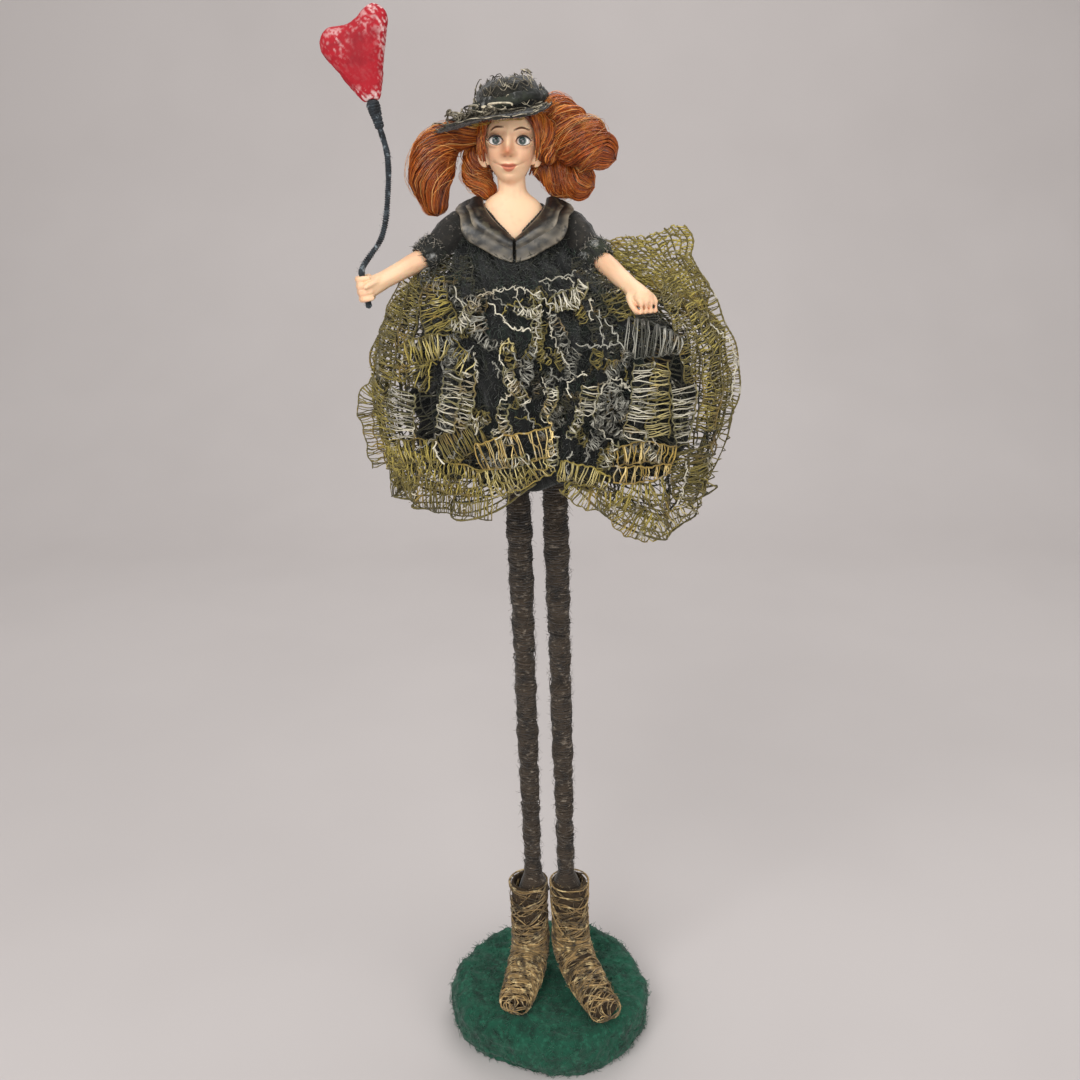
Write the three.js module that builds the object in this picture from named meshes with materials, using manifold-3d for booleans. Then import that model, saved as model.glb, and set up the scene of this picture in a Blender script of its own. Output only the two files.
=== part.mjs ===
// A clay art doll on long wound legs. It stands on a felted base and holds a heart on a stem.
// Millimetres, +Z up. The doll faces -Y, and the origin is the middle of the base's underside.
// Left and right are the doll's own: its right hand, on the -X side, holds the heart.

import * as THREE from 'three';
import { mergeVertices } from 'three/addons/utils/BufferGeometryUtils.js';
import Module from 'manifold-3d';

const wasm = await Module();
wasm.setup();

const v3 = (x, y, z) => new THREE.Vector3(x, y, z);
const Y_AXIS = v3(0, 1, 0);
const Z_AXIS = v3(0, 0, 1);
const RIGHT = -1;
const LEFT = 1;

// Driving dimensions, in millimetres

// Fits
const GAP = 0.35; // clearance between pieces that lie against each other

// Base: a turned core under a needle-felted cover
const CORE_RADIUS = 50;
const FELT_WALL = 4.5;
const BASE_HEIGHT = 25;
const FELT_LUMP = 0.9; // rise and fall of the felt's top
const EDGE_ROUND = 6; // rounding of the base's upper edge

// Legs: a steel wire under a wound yarn sleeve
const LEG_WIRE_RADIUS = 1.25;
const LEG_SPACING = 18.6; // between the two leg wires
const LEG_LENGTH = 341; // from the base's top to the hips
const LEG_LEAN = -0.0325; // sideways shift for each millimetre of height
const STANCE_X = 1.8; // middle of the stance on the base
const STANCE_Y = 4;
const WIRE_SEAT = 17; // depth of the wire's hole in the base
const HIP_SEAT = 20; // depth of the wire's hole in the body
const ANKLE_RADIUS = 4.3;
const THIGH_RADIUS = 6.5;
const YARN_TURNS = 24; // bundles of yarn up each leg
const YARN_RIDGE = 0.5;

// Boots: a foot form inside a wound thread wrap
const BOOT_HEIGHT = 62;
const BOOT_SHAFT_RADIUS = 10;
const BOOT_SHIFT = { [RIGHT]: -3, [LEFT]: 1.6 }; // how far each boot stands out from its leg
const BOOT_WRAP = 1.6;
const LEG_IN_BOOT = 9; // how far the yarn sleeve goes into the boot
const FOOT_LENGTH = 41; // from the ankle's middle to the toe
const FOOT_WIDTH = 20;
const FOOT_HEIGHT = 16;
const TOE_OUT = { [RIGHT]: -14, [LEFT]: 23 }; // degrees from straight ahead
const TOE_REACH = { [RIGHT]: 0, [LEFT]: 9 }; // how much longer each boot is

// Body
const TORSO_SHIFT = -8.1; // sideways shift from the hips to the shoulders
const TORSO_LENGTH = 78; // from the hips to the shoulder line
const HIP_WIDTH = 27;
const WAIST_WIDTH = 23;
const CHEST_WIDTH = 36;
const CHEST_DEPTH = 26;
const BODICE_WALL = 1.4;
const NECK_RADIUS = 6.4;
const NECK_LENGTH = 15;
const NECK_RISE = 9; // from the shoulder line to the root of the neck
const HIGH_WAIST_DROP = 21; // from the shoulder line to the skirt's waist
const PLATE_DROP = 16; // from the shoulder line to the clay chest plate's lower edge
const LAPEL_THICKNESS = 1.1;
const NECKLINE_DROP = 3.5; // from the shoulder line to the foot of the V
const NECKLINE_WIDTH = 31; // across the top of the V

// Head
const HEAD_WIDTH = 24.5;
const HEAD_DEPTH = 27;
const HEAD_HEIGHT = 37;
const EYE_RADIUS = 3.4;
const EYE_LENGTH = 6.2; // of the opening between the lids
const LID = 0.9; // thickness of the clay lids
const EYE_SPACING = 11.8;
const HAIR_THICKNESS = 2.2;
const CURL_RADIUS = 11.5; // of the fullest curl
const BRIM_RADIUS = 24;
const CROWN_HEIGHT = 15;
const HAT_WALL = 1.2;
const BAND_HEIGHT = 5;
const BAND_THICKNESS = 2.4;

// Arms
const SHOULDER_WIDTH = 51.6; // between the two shoulder joints
const SLEEVE_RADIUS = 8.2;
const CUFF_RADIUS = 6.6;
const CUFF_LENGTH = 8;
const UPPER_ARM_LENGTH = 23;
const RIGHT_FOREARM_LENGTH = 27; // from the cuff to the middle of the palm
const LEFT_FOREARM_LENGTH = 31;
const WRIST_RADIUS = 4.1;
const PALM = 10.8; // across the palm
const ARM_WIRE_RADIUS = 0.9;
const FINGER_RADIUS = 1.75;
const FINGER_STEP = 3.1; // from one finger to the next

// Skirt: thin gauze sheets, each a closed solid
const GAUZE = 1.2;
const SKIRT_HALF_WIDTH = 86;
const SKIRT_HALF_DEPTH = 58;
const SKIRT_DROP = 104; // from the high waist to the hem
const FOLD_DEPTH = 4.5;
const FOLDS = 15; // around the whole skirt
const TUCK = 4.5; // how far the back panel lies under the side panels
const PETTICOAT_SHARE = 0.76; // of the skirt's half-width and half-depth
const CENTRE_RISE = 22; // how far the hem lifts at the front opening
const LEFT_DIP = 12; // how far the hem hangs lower at the doll's left
const FRILL_WIDTH = 15;
const FRILL_ROOT = 14.2; // how far ahead of the spine the frills start

// Heart on its stem
const STEM_WIRE_RADIUS = 0.7;
const STEM_RADIUS = 1.5;
const STEM_TURNS = 10; // bundles of thread up the stem
const STEM_LENGTH = 79; // rise from the fist to the heart
const STEM_AHEAD = 2.6; // from the middle of the palm to the stem
const HEART_WIDTH = 33;
const HEART_HEIGHT = 37; // to the mean of its two lobes
const HEART_DEPTH = 11;

// Stations worked out from the driving dimensions
const forearm = { [RIGHT]: RIGHT_FOREARM_LENGTH, [LEFT]: LEFT_FOREARM_LENGTH };
const baseTop = BASE_HEIGHT;
const bootTop = baseTop + BOOT_HEIGHT;
const hipZ = baseTop + LEG_LENGTH;
const shoulderZ = hipZ + TORSO_LENGTH;
const hipX = STANCE_X + LEG_LEAN * LEG_LENGTH;
const torsoX = (z) => hipX + TORSO_SHIFT * THREE.MathUtils.clamp((z - hipZ) / TORSO_LENGTH, 0, 1.2);
const neckRootZ = shoulderZ + NECK_RISE;
const chinZ = neckRootZ + NECK_LENGTH * 0.65;
const headCentre = v3(torsoX(neckRootZ) - 0.8, -2, chinZ + HEAD_HEIGHT / 2);
const highWaistZ = shoulderZ - HIGH_WAIST_DROP;

// Mesh helpers

/** Turns a closed geometry into a solid for joining and cutting. */
function solid(geometry) {
  const bare = geometry.clone();
  bare.deleteAttribute('normal');
  bare.deleteAttribute('uv');
  const merged = mergeVertices(bare, 1e-4);
  return new wasm.Manifold(
    new wasm.Mesh({
      numProp: 3,
      vertProperties: new Float32Array(merged.attributes.position.array),
      triVerts: new Uint32Array(merged.index.array),
    }),
  );
}

/** Turns a solid back into a geometry. */
function geometryOf(made) {
  const mesh = made.getMesh();
  const geometry = new THREE.BufferGeometry();
  geometry.setAttribute('position', new THREE.BufferAttribute(new Float32Array(mesh.vertProperties), 3));
  geometry.setIndex(new THREE.BufferAttribute(new Uint32Array(mesh.triVerts), 1));
  return geometry;
}

/** The biggest body of a solid, for cuts that leave crumbs behind. */
function mainBody(made) {
  return made.decompose().reduce((a, b) => (b.volume() > a.volume() ? b : a));
}

/** An indexed geometry from points and triangles, with its faces turned outwards. */
function closedMesh(points, triangles) {
  let volume = 0;
  for (const [a, b, c] of triangles) {
    volume += points[a].dot(points[b].clone().cross(points[c]));
  }
  const faces = volume < 0 ? triangles.map(([a, b, c]) => [a, c, b]) : triangles;
  const geometry = new THREE.BufferGeometry().setFromPoints(points);
  geometry.setIndex(faces.flat());
  return geometry;
}

/** A closed skin through rings of equal point counts, with a fan over each end. */
function loft(rings) {
  const count = rings[0].length;
  const points = rings.flat();
  const triangles = [];
  for (let r = 0; r + 1 < rings.length; r++) {
    for (let i = 0; i < count; i++) {
      const a = r * count + i;
      const b = r * count + ((i + 1) % count);
      triangles.push([a, b, b + count], [a, b + count, a + count]);
    }
  }
  for (const end of [0, rings.length - 1]) {
    const middle = rings[end].reduce((sum, p) => sum.add(p), v3(0, 0, 0)).divideScalar(count);
    const hub = points.push(middle) - 1;
    for (let i = 0; i < count; i++) {
      const a = end * count + i;
      const b = end * count + ((i + 1) % count);
      triangles.push(end === 0 ? [hub, b, a] : [hub, a, b]);
    }
  }
  return closedMesh(points, triangles);
}

/** A level ring of an upright form: an ellipse about (x, y) at height z. */
function levelRing(x, y, z, halfWidth, halfDepth, sides) {
  const ring = [];
  for (let i = 0; i < sides; i++) {
    const turn = (2 * Math.PI * i) / sides;
    ring.push(v3(x + halfWidth * Math.cos(turn), y + halfDepth * Math.sin(turn), z));
  }
  return ring;
}

/** The values at a place along stations of [place, value, ...], on straight runs between them. */
function between(stations, at) {
  const last = stations.length - 1;
  if (at <= stations[0][0]) return stations[0].slice(1);
  if (at >= stations[last][0]) return stations[last].slice(1);
  const next = stations.findIndex((station) => station[0] > at);
  const [low, high] = [stations[next - 1], stations[next]];
  const share = (at - low[0]) / (high[0] - low[0]);
  return low.slice(1).map((value, i) => THREE.MathUtils.lerp(value, high[i + 1], share));
}

/** The frame of a curve at t: its point, and two directions across it, one square to the reference. */
function frameOf(curve, t, reference) {
  const tangent = curve.getTangent(t);
  const side = reference.clone().cross(tangent).normalize();
  return { point: curve.getPoint(t), side, up: tangent.clone().cross(side) };
}

/** A round-ended body along a run of points, with its own half-width and half-height at each. */
function sweep(points, radii, reference, { sides = 10, steps = 12, grow = 0 } = {}) {
  const curve = new THREE.CatmullRomCurve3(points);
  const sizes = radii.map((r, i) => [i / (radii.length - 1), ...(Array.isArray(r) ? r : [r, r])]);
  const rings = [];
  const addRing = (t, share, shift) => {
    const { point, side, up } = frameOf(curve, t, reference);
    const [wide, high] = between(sizes, t);
    const centre = point.addScaledVector(curve.getTangent(t), shift);
    rings.push(
      Array.from({ length: sides }, (_, i) => {
        const turn = (2 * Math.PI * i) / sides;
        return centre
          .clone()
          .addScaledVector(side, (wide + grow) * share * Math.cos(turn))
          .addScaledVector(up, (high + grow) * share * Math.sin(turn));
      }),
    );
  };
  const roundEnd = (radius) => 0.5 * (radius + grow);
  addRing(0, 0.55, -roundEnd(sizes[0][1]));
  for (let s = 0; s <= steps; s++) addRing(s / steps, 1, 0);
  addRing(1, 0.55, roundEnd(sizes[sizes.length - 1][1]));
  return loft(rings);
}

/** A round rod between two points. */
function rod(from, to, radius, sides = 10) {
  const geometry = new THREE.CylinderGeometry(radius, radius, from.distanceTo(to), sides);
  const along = to.clone().sub(from).normalize();
  geometry.applyQuaternion(new THREE.Quaternion().setFromUnitVectors(Y_AXIS, along));
  const middle = from.clone().lerp(to, 0.5);
  return geometry.translate(middle.x, middle.y, middle.z);
}

/** A round wire along a run of points. */
function wire(points, radius, steps, sides = 8) {
  const section = new THREE.Shape().absarc(0, 0, radius, 0, 2 * Math.PI);
  const path = new THREE.CatmullRomCurve3(points);
  return new THREE.ExtrudeGeometry(section, { steps, extrudePath: path, curveSegments: sides / 2 });
}

/** An ellipsoid with its poles on the Z axis. */
function ellipsoid(centre, rx, ry, rz, around = 12, down = 8) {
  const geometry = new THREE.SphereGeometry(1, around, down).rotateX(Math.PI / 2);
  return geometry.scale(rx, ry, rz).translate(centre.x, centre.y, centre.z);
}

/** A thin closed sheet either side of a surface point(u, v), with u and v from 0 to 1. */
function sheet(point, uSteps, vSteps, thickness) {
  const across = vSteps + 1;
  const faces = [[], []];
  const NUDGE = 1e-3;
  for (let i = 0; i <= uSteps; i++) {
    for (let j = 0; j <= vSteps; j++) {
      const [u, v] = [i / uSteps, j / vSteps];
      const du = point(Math.min(u + NUDGE, 1), v).sub(point(Math.max(u - NUDGE, 0), v));
      const dv = point(u, Math.min(v + NUDGE, 1)).sub(point(u, Math.max(v - NUDGE, 0)));
      const normal = du.cross(dv).normalize();
      faces[0].push(point(u, v).addScaledVector(normal, thickness / 2));
      faces[1].push(point(u, v).addScaledVector(normal, -thickness / 2));
    }
  }
  const under = faces[0].length;
  const triangles = [];
  const quad = (a, b, c, d) => triangles.push([a, b, c], [a, c, d]);
  for (let i = 0; i < uSteps; i++) {
    for (let j = 0; j < vSteps; j++) {
      const a = i * across + j;
      quad(a, a + across, a + across + 1, a + 1);
      quad(under + a, under + a + 1, under + a + across + 1, under + a + across);
    }
    const [top, foot] = [i * across, i * across + vSteps];
    quad(top, under + top, under + top + across, top + across);
    quad(foot, foot + across, under + foot + across, under + foot);
  }
  for (let j = 0; j < vSteps; j++) {
    const far = uSteps * across + j;
    quad(j, j + 1, under + j + 1, under + j);
    quad(far, under + far, under + far + 1, far + 1);
  }
  return closedMesh([...faces[0], ...faces[1]], triangles);
}

/**
 * A wound sleeve: yarn turns lying side by side as one helical ridge around a curve.
 * A line of crests and a line of hollows climb the curve together, half a pitch apart.
 */
function woundSleeve(curve, radiusAt, turns, ridge, sides) {
  const span = turns + 0.5;
  const last = sides * turns;
  const points = [];
  const addLine = (lift, bump) => {
    for (let n = 0; n <= last; n++) {
      const t = (n / sides + lift) / span;
      const turn = (2 * Math.PI * n) / sides;
      const { point, side, up } = frameOf(curve, t, Y_AXIS);
      const radius = radiusAt(t) + bump;
      point.addScaledVector(side, radius * Math.cos(turn));
      points.push(point.addScaledVector(up, radius * Math.sin(turn)));
    }
  };
  addLine(0, ridge);
  addLine(0.5, -ridge);
  const hollow = (n) => last + 1 + n;
  const triangles = [];
  for (let n = 0; n < last; n++) {
    triangles.push([n, n + 1, hollow(n + 1)], [n, hollow(n + 1), hollow(n)]);
    if (n >= last - sides) continue;
    const [above, next] = [n + sides, n + sides + 1];
    triangles.push([hollow(n), hollow(n + 1), next], [hollow(n), next, above]);
  }
  const turnOf = (first) => Array.from({ length: sides + 1 }, (_, i) => first + i);
  const cap = (loop, t) => {
    const hub = points.push(curve.getPoint(t)) - 1;
    loop.forEach((a, i) => triangles.push([hub, loop[(i + 1) % loop.length], a]));
  };
  cap([...turnOf(0), hollow(0)], 0.5 / span);
  cap([last, ...turnOf(hollow(last - sides)).reverse()], 1 - 0.5 / span);
  return closedMesh(points, triangles);
}

/** A big block with its underside or top at height z, for cutting forms off level. */
function halfSpace(z, above) {
  const size = 4 * (LEG_LENGTH + TORSO_LENGTH);
  return solid(new THREE.BoxGeometry(size, size, size).translate(0, 0, z + (above ? size : -size) / 2));
}

// The doll, piece by piece

const doll = new THREE.Group();

/** Adds one named piece to the doll. */
function add(name, made, finish) {
  const mesh = new THREE.Mesh(geometryOf(made), finish.clone());
  mesh.name = name;
  doll.add(mesh);
}

const paint = (color, roughness, metalness = 0) =>
  new THREE.MeshStandardMaterial({ color, roughness, metalness });
const FELT = paint('#1d5a44', 1);
const TIMBER = paint('#a9814f', 0.7);
const STEEL = paint('#8b8e92', 0.4, 1);
const LEG_YARN = paint('#3a322e', 0.95);
const BOOT_THREAD = paint('#8a6c36', 0.8);
const PADDING = paint('#d8d2c4', 0.95);
const CLAY = paint('#efc6a0', 0.55);
const EYE_GLAZE = paint('#f2efe8', 0.15);
const HAIR = paint('#a4481a', 0.5);
const DARK_CLOTH = paint('#22221f', 0.85);
const SATIN = paint('#3c4139', 0.45);
const HAT_FELT = paint('#3b4032', 0.9);
const GAUZE_GOLD = paint('#7c7034', 0.85);
const DARK_GAUZE = paint('#34362c', 0.85);
const TULLE = paint('#1c211d', 0.9);
const HEART_RED = paint('#b3142c', 0.6);
const STEM_THREAD = paint('#37424c', 0.8);
const nameOf = { [RIGHT]: 'right', [LEFT]: 'left' };

// Base

/** An uneven disc standing on foot, with a rounded upper edge and a gently lumpy top. */
function baseForm(radius, height, foot, lump) {
  const round = Math.min(EDGE_ROUND, height / 3);
  const profile = [new THREE.Vector2(0, foot), new THREE.Vector2(radius - round * 0.4, foot)];
  profile.push(new THREE.Vector2(radius, foot + round));
  for (let step = 0; step <= 2; step++) {
    const turn = (step / 2) * (Math.PI / 2);
    const arc = new THREE.Vector2(Math.cos(turn), Math.sin(turn)).multiplyScalar(round);
    profile.push(arc.add(new THREE.Vector2(radius - round, height - round)));
  }
  profile.push(new THREE.Vector2(radius * 0.5, height), new THREE.Vector2(0, height));
  const geometry = new THREE.LatheGeometry(profile, 24).rotateX(Math.PI / 2);
  const place = geometry.attributes.position;
  for (let i = 0; i < place.count; i++) {
    const [x, y, z] = [place.getX(i), place.getY(i), place.getZ(i)];
    const turn = Math.atan2(y, x);
    const wide = 0.02 * Math.cos(2 * turn + 0.4) + 0.022 * Math.cos(3 * turn + 2.5);
    const uneven = 1 + wide + 0.02 * Math.cos(5 * turn + 0.7) + 0.012 * Math.cos(8 * turn);
    const rise = z > height / 2 ? lump * Math.sin((5 * x) / radius) * Math.cos((6 * y) / radius) : 0;
    place.setXYZ(i, x * uneven, y * uneven, z + rise);
  }
  return solid(geometry);
}

const legPoint = (side, z) =>
  v3(STANCE_X + (side * LEG_SPACING) / 2 + LEG_LEAN * (z - baseTop), STANCE_Y, z);

/** A leg wire, or the bore that it runs in. */
function legWire(side, grow) {
  const low = legPoint(side, baseTop - WIRE_SEAT - grow);
  return solid(rod(low, legPoint(side, hipZ + HIP_SEAT + grow), LEG_WIRE_RADIUS + grow));
}

const legBores = legWire(RIGHT, GAP).add(legWire(LEFT, GAP));
const feltForm = (grow) => baseForm(CORE_RADIUS + FELT_WALL + grow, BASE_HEIGHT + grow, -grow, FELT_LUMP);
const coreTop = BASE_HEIGHT - FELT_WALL;

function buildBase() {
  const core = baseForm(CORE_RADIUS, coreTop, 0, 0);
  const hollow = baseForm(CORE_RADIUS + GAP, coreTop + GAP, -BASE_HEIGHT, 0);
  add('base_core', core.subtract(legBores), TIMBER);
  add('base_felt', feltForm(0).subtract(hollow).subtract(legBores), FELT);
}

// Legs and boots

const sleeveFoot = bootTop - LEG_IN_BOOT;

function buildLeg(side) {
  const axis = new THREE.LineCurve3(legPoint(side, sleeveFoot), legPoint(side, hipZ - GAP));
  const radiusAt = (t) => THREE.MathUtils.lerp(ANKLE_RADIUS, THIGH_RADIUS, t);
  const wound = solid(woundSleeve(axis, radiusAt, YARN_TURNS, YARN_RIDGE, 7));
  add(`${nameOf[side]}_leg_wire`, legWire(side, 0), STEEL);
  add(`${nameOf[side]}_leg_yarn`, wound.subtract(legBores), LEG_YARN);
}

/** A boot's outer form, down the shaft and along the foot to the toe. */
function bootForm(side, grow) {
  const turn = THREE.MathUtils.degToRad(TOE_OUT[side]);
  const ahead = v3(Math.sin(turn), -Math.cos(turn), 0);
  const across = v3(Math.cos(turn), Math.sin(turn), 0);
  const reach = FOOT_LENGTH + TOE_REACH[side];
  const on = (height, forward) => {
    const ankle = legPoint(side, baseTop + height).add(v3(BOOT_SHIFT[side], 0, 0));
    return ankle.addScaledVector(ahead, forward);
  };
  const spine = [
    on(BOOT_HEIGHT, 0),
    on(BOOT_HEIGHT * 0.55, 0),
    on(FOOT_HEIGHT * 1.15, reach * 0.03),
    on(FOOT_HEIGHT * 0.62, reach * 0.35),
    on(FOOT_HEIGHT * 0.48, reach * 0.88),
  ];
  const [shaft, wide, high] = [BOOT_SHAFT_RADIUS, FOOT_WIDTH / 2, FOOT_HEIGHT / 2];
  const heel = [shaft * 1.15, shaft];
  const radii = [shaft, shaft * 0.95, heel, [high * 1.15, wide], [high * 0.8, wide * 0.82]];
  return solid(sweep(spine, radii, across, { sides: 10, steps: 8, grow }));
}

function buildBoot(side) {
  const ground = feltForm(GAP);
  const form = bootForm(side, -BOOT_WRAP - GAP).subtract(halfSpace(sleeveFoot - GAP, true));
  const wrap = bootForm(side, 0).subtract(bootForm(side, -BOOT_WRAP)).subtract(halfSpace(bootTop, true));
  const formGround = feltForm(GAP + BOOT_WRAP);
  add(`${nameOf[side]}_foot_form`, mainBody(form.subtract(legBores).subtract(formGround)), PADDING);
  add(`${nameOf[side]}_boot_wrap`, mainBody(wrap.subtract(legBores).subtract(ground)), BOOT_THREAD);
}

// Body: padded core, clay bust and bodice share one torso form

const TORSO_Y = -1;
const torsoStations = [
  [0, HIP_WIDTH * 0.46, HIP_WIDTH * 0.36],
  [0.1, HIP_WIDTH * 0.52, HIP_WIDTH * 0.41],
  [0.25, HIP_WIDTH * 0.53, HIP_WIDTH * 0.42],
  [0.46, WAIST_WIDTH / 2, WAIST_WIDTH * 0.43],
  [0.62, CHEST_WIDTH * 0.4, CHEST_DEPTH * 0.47],
  [0.78, CHEST_WIDTH * 0.47, CHEST_DEPTH * 0.54],
  [0.92, CHEST_WIDTH / 2, CHEST_DEPTH * 0.5],
  [1.02, CHEST_WIDTH * 0.5, CHEST_DEPTH * 0.44],
  [1.1, CHEST_WIDTH * 0.47, CHEST_DEPTH * 0.37],
  [1.165, CHEST_WIDTH * 0.38, CHEST_DEPTH * 0.29],
  [1.21, NECK_RADIUS + 1, NECK_RADIUS],
];
const torsoSize = (z) => between(torsoStations, (z - hipZ) / TORSO_LENGTH);

/** The torso between two heights, grown or shrunk all round. */
function torsoForm(low, high, grow) {
  const levels = torsoStations.map(([share]) => hipZ + share * TORSO_LENGTH);
  const inside = levels.filter((z) => z > low + 0.5 && z < high - 0.5);
  const rings = [low, ...inside, high].map((z) => {
    const [wide, deep] = torsoSize(z);
    return levelRing(torsoX(z), TORSO_Y, z, wide + grow, deep + grow, 16);
  });
  return solid(loft(rings));
}

const inBodice = -BODICE_WALL - GAP;
const plateZ = shoulderZ - PLATE_DROP;
const shoulderAt = (side) => v3(torsoX(shoulderZ) + (side * SHOULDER_WIDTH) / 2, 0, shoulderZ);
const spineAt = (z) => v3(torsoX(z), TORSO_Y + 3, z);

const spineWire = (grow) =>
  solid(rod(spineAt(hipZ + HIP_SEAT + 6 - grow), spineAt(headCentre.z + grow), LEG_WIRE_RADIUS + grow));
function shoulderWire(reach, radius) {
  const end = (side) => v3(torsoX(shoulderZ) + side * reach, TORSO_Y - 2, shoulderZ - 3);
  return solid(rod(end(RIGHT), end(LEFT), radius));
}
const chestBore = shoulderWire(CHEST_WIDTH, ARM_WIRE_RADIUS + GAP);
const innerBores = legBores.add(spineWire(GAP)).add(chestBore);

function buildBody() {
  const core = torsoForm(hipZ, plateZ - GAP, inBodice);
  add('torso_core', core.subtract(innerBores), PADDING);
  add('spine_wire', spineWire(0), STEEL);
  add('shoulder_wire', shoulderWire(CHEST_WIDTH / 2 + inBodice - 2.5, ARM_WIRE_RADIUS), STEEL);

  const low = hipZ + TORSO_LENGTH * 0.34;
  const high = shoulderZ + TORSO_LENGTH * 0.15;
  const cloth = torsoForm(low, high, 0).subtract(torsoForm(low - 1, high + 6, -BODICE_WALL));
  const vee = new THREE.Shape();
  vee.moveTo(0, shoulderZ - NECKLINE_DROP);
  vee.lineTo(NECKLINE_WIDTH / 2, high + 1);
  vee.lineTo(-NECKLINE_WIDTH / 2, high + 1);
  const cutter = new THREE.ExtrudeGeometry(vee, { depth: CHEST_DEPTH, bevelEnabled: false });
  const neckline = solid(cutter.rotateX(Math.PI / 2).translate(torsoX(shoulderZ), 0, 0));
  const sockets = [RIGHT, LEFT].map((side) => solid(shoulderBall(side, GAP)));
  const open = cloth.subtract(neckline).subtract(sockets[0]).subtract(sockets[1]);
  add('bodice', mainBody(open.subtract(neckForm(GAP))), DARK_CLOTH);
}

// Head

/** The head: a sphere drawn in at the jaw, with the chin brought forward. */
function headForm(grow, around = 20, down = 13) {
  const geometry = new THREE.SphereGeometry(1, around, down).rotateX(Math.PI / 2);
  const place = geometry.attributes.position;
  for (let i = 0; i < place.count; i++) {
    const [x, y, z] = [place.getX(i), place.getY(i), place.getZ(i)];
    const jaw = Math.max(0, -z);
    const narrow = 1 - 0.28 * jaw ** 1.5;
    const forward = 0.08 * jaw * (1 - y);
    place.setXYZ(
      i,
      headCentre.x + x * narrow * (HEAD_WIDTH / 2 + grow),
      headCentre.y + (y * narrow - forward) * (HEAD_DEPTH / 2 + grow),
      headCentre.z + z * (HEAD_HEIGHT / 2 + grow),
    );
  }
  return solid(geometry);
}

const [faceWidth, faceDepth, faceHeight] = [HEAD_WIDTH / 2, HEAD_DEPTH / 2, HEAD_HEIGHT / 2];

/** A place on the head by shares of its half-width, half-depth and half-height. */
const onHead = (x, y, z) =>
  headCentre.clone().add(v3(x * faceWidth, y * faceDepth, z * faceHeight));

const eyeAt = (side) => {
  const share = EYE_SPACING / HEAD_WIDTH;
  return onHead(side * share, -Math.sqrt(1 - share * share), 0.03).add(v3(0, 0.72 * EYE_RADIUS, 0));
};
const earForm = (side, grow) => {
  const [thick, deep, high] = [0.13 * faceWidth, 0.2 * faceDepth, 0.24 * faceHeight];
  return solid(ellipsoid(onHead(side * 0.95, 0.1, -0.34), thick + grow, deep + grow, high + grow, 8, 6));
};

/** The sculpted nose, from the bridge down to the nostrils. */
function nose() {
  const stations = [
    [0.16, 0.08, 0.06, -0.94],
    [-0.02, 0.13, 0.15, -0.98],
    [-0.2, 0.21, 0.2, -1.06],
    [-0.31, 0.29, 0.23, -1.04],
    [-0.37, 0.2, 0.16, -0.98],
  ];
  const rings = stations.map(([z, wide, deep, y]) => {
    const at = onHead(0, y, z);
    return levelRing(at.x, at.y, at.z, wide * faceWidth, deep * faceDepth, 10);
  });
  return solid(loft(rings));
}

/** The almond opening between the lids of one eye, cut straight back to the eyeball's middle. */
function eyeOpening(side) {
  const at = eyeAt(side);
  const half = EYE_LENGTH / 2;
  const almond = new THREE.Shape().moveTo(-half, 0);
  almond.quadraticCurveTo(0, EYE_LENGTH * 0.58, half, 0.3);
  almond.quadraticCurveTo(0, -EYE_LENGTH * 0.36, -half, 0);
  const cut = { depth: 3 * EYE_RADIUS, bevelEnabled: false, curveSegments: 4 };
  const cutter = new THREE.ExtrudeGeometry(almond, cut);
  return solid(cutter.rotateX(Math.PI / 2).translate(at.x, at.y, at.z));
}

/** The smiling lips. */
function lipForm() {
  const relief = (x, y, z, wide, deep, high) => {
    const at = onHead(x, y, z);
    return solid(ellipsoid(at, wide * faceWidth, deep * faceDepth, high * faceHeight, 10, 5));
  };
  const upper = relief(0, -0.94, -0.49, 0.36, 0.09, 0.05);
  return upper.add(relief(0, -0.93, -0.57, 0.28, 0.1, 0.05));
}

/** The neck, flaring where it meets the chest. */
function neckForm(grow) {
  const stations = [
    [shoulderZ - 2, NECK_RADIUS + 4],
    [shoulderZ + 7, NECK_RADIUS + 2],
    [neckRootZ + 2, NECK_RADIUS],
    [chinZ + HEAD_HEIGHT * 0.3, NECK_RADIUS],
  ];
  const rings = stations.map(([z, radius]) => {
    const share = THREE.MathUtils.smoothstep(z, shoulderZ, chinZ);
    const x = THREE.MathUtils.lerp(torsoX(shoulderZ), headCentre.x, share);
    const y = THREE.MathUtils.lerp(TORSO_Y, headCentre.y + 1.5, share);
    return levelRing(x, y, z, radius + grow, radius * 0.92 + grow, 12);
  });
  return solid(loft(rings));
}

/** The head with its ears, and the neck that carries it. */
const skullForm = (grow) =>
  headForm(grow).add(earForm(RIGHT, grow)).add(earForm(LEFT, grow)).add(neckForm(grow));

/** The clay bust in one piece: chest plate, neck and head. */
function bustForm(grow) {
  const plate = torsoForm(plateZ - grow, neckRootZ + 7 + grow, inBodice + grow);
  return plate.add(skullForm(grow)).add(nose());
}

const hairForm = (grow) => {
  const [wide, deep, high] = [1.25 * faceWidth, 0.98 * faceDepth, 0.98 * faceHeight];
  const face = ellipsoid(onHead(0, -0.95, -0.3), wide - grow, deep - grow, high - grow, 16, 10);
  const nape = halfSpace(headCentre.z - 0.58 * faceHeight - grow, false);
  return headForm(HAIR_THICKNESS + grow, 14, 9).subtract(solid(face)).subtract(nape);
};

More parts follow.
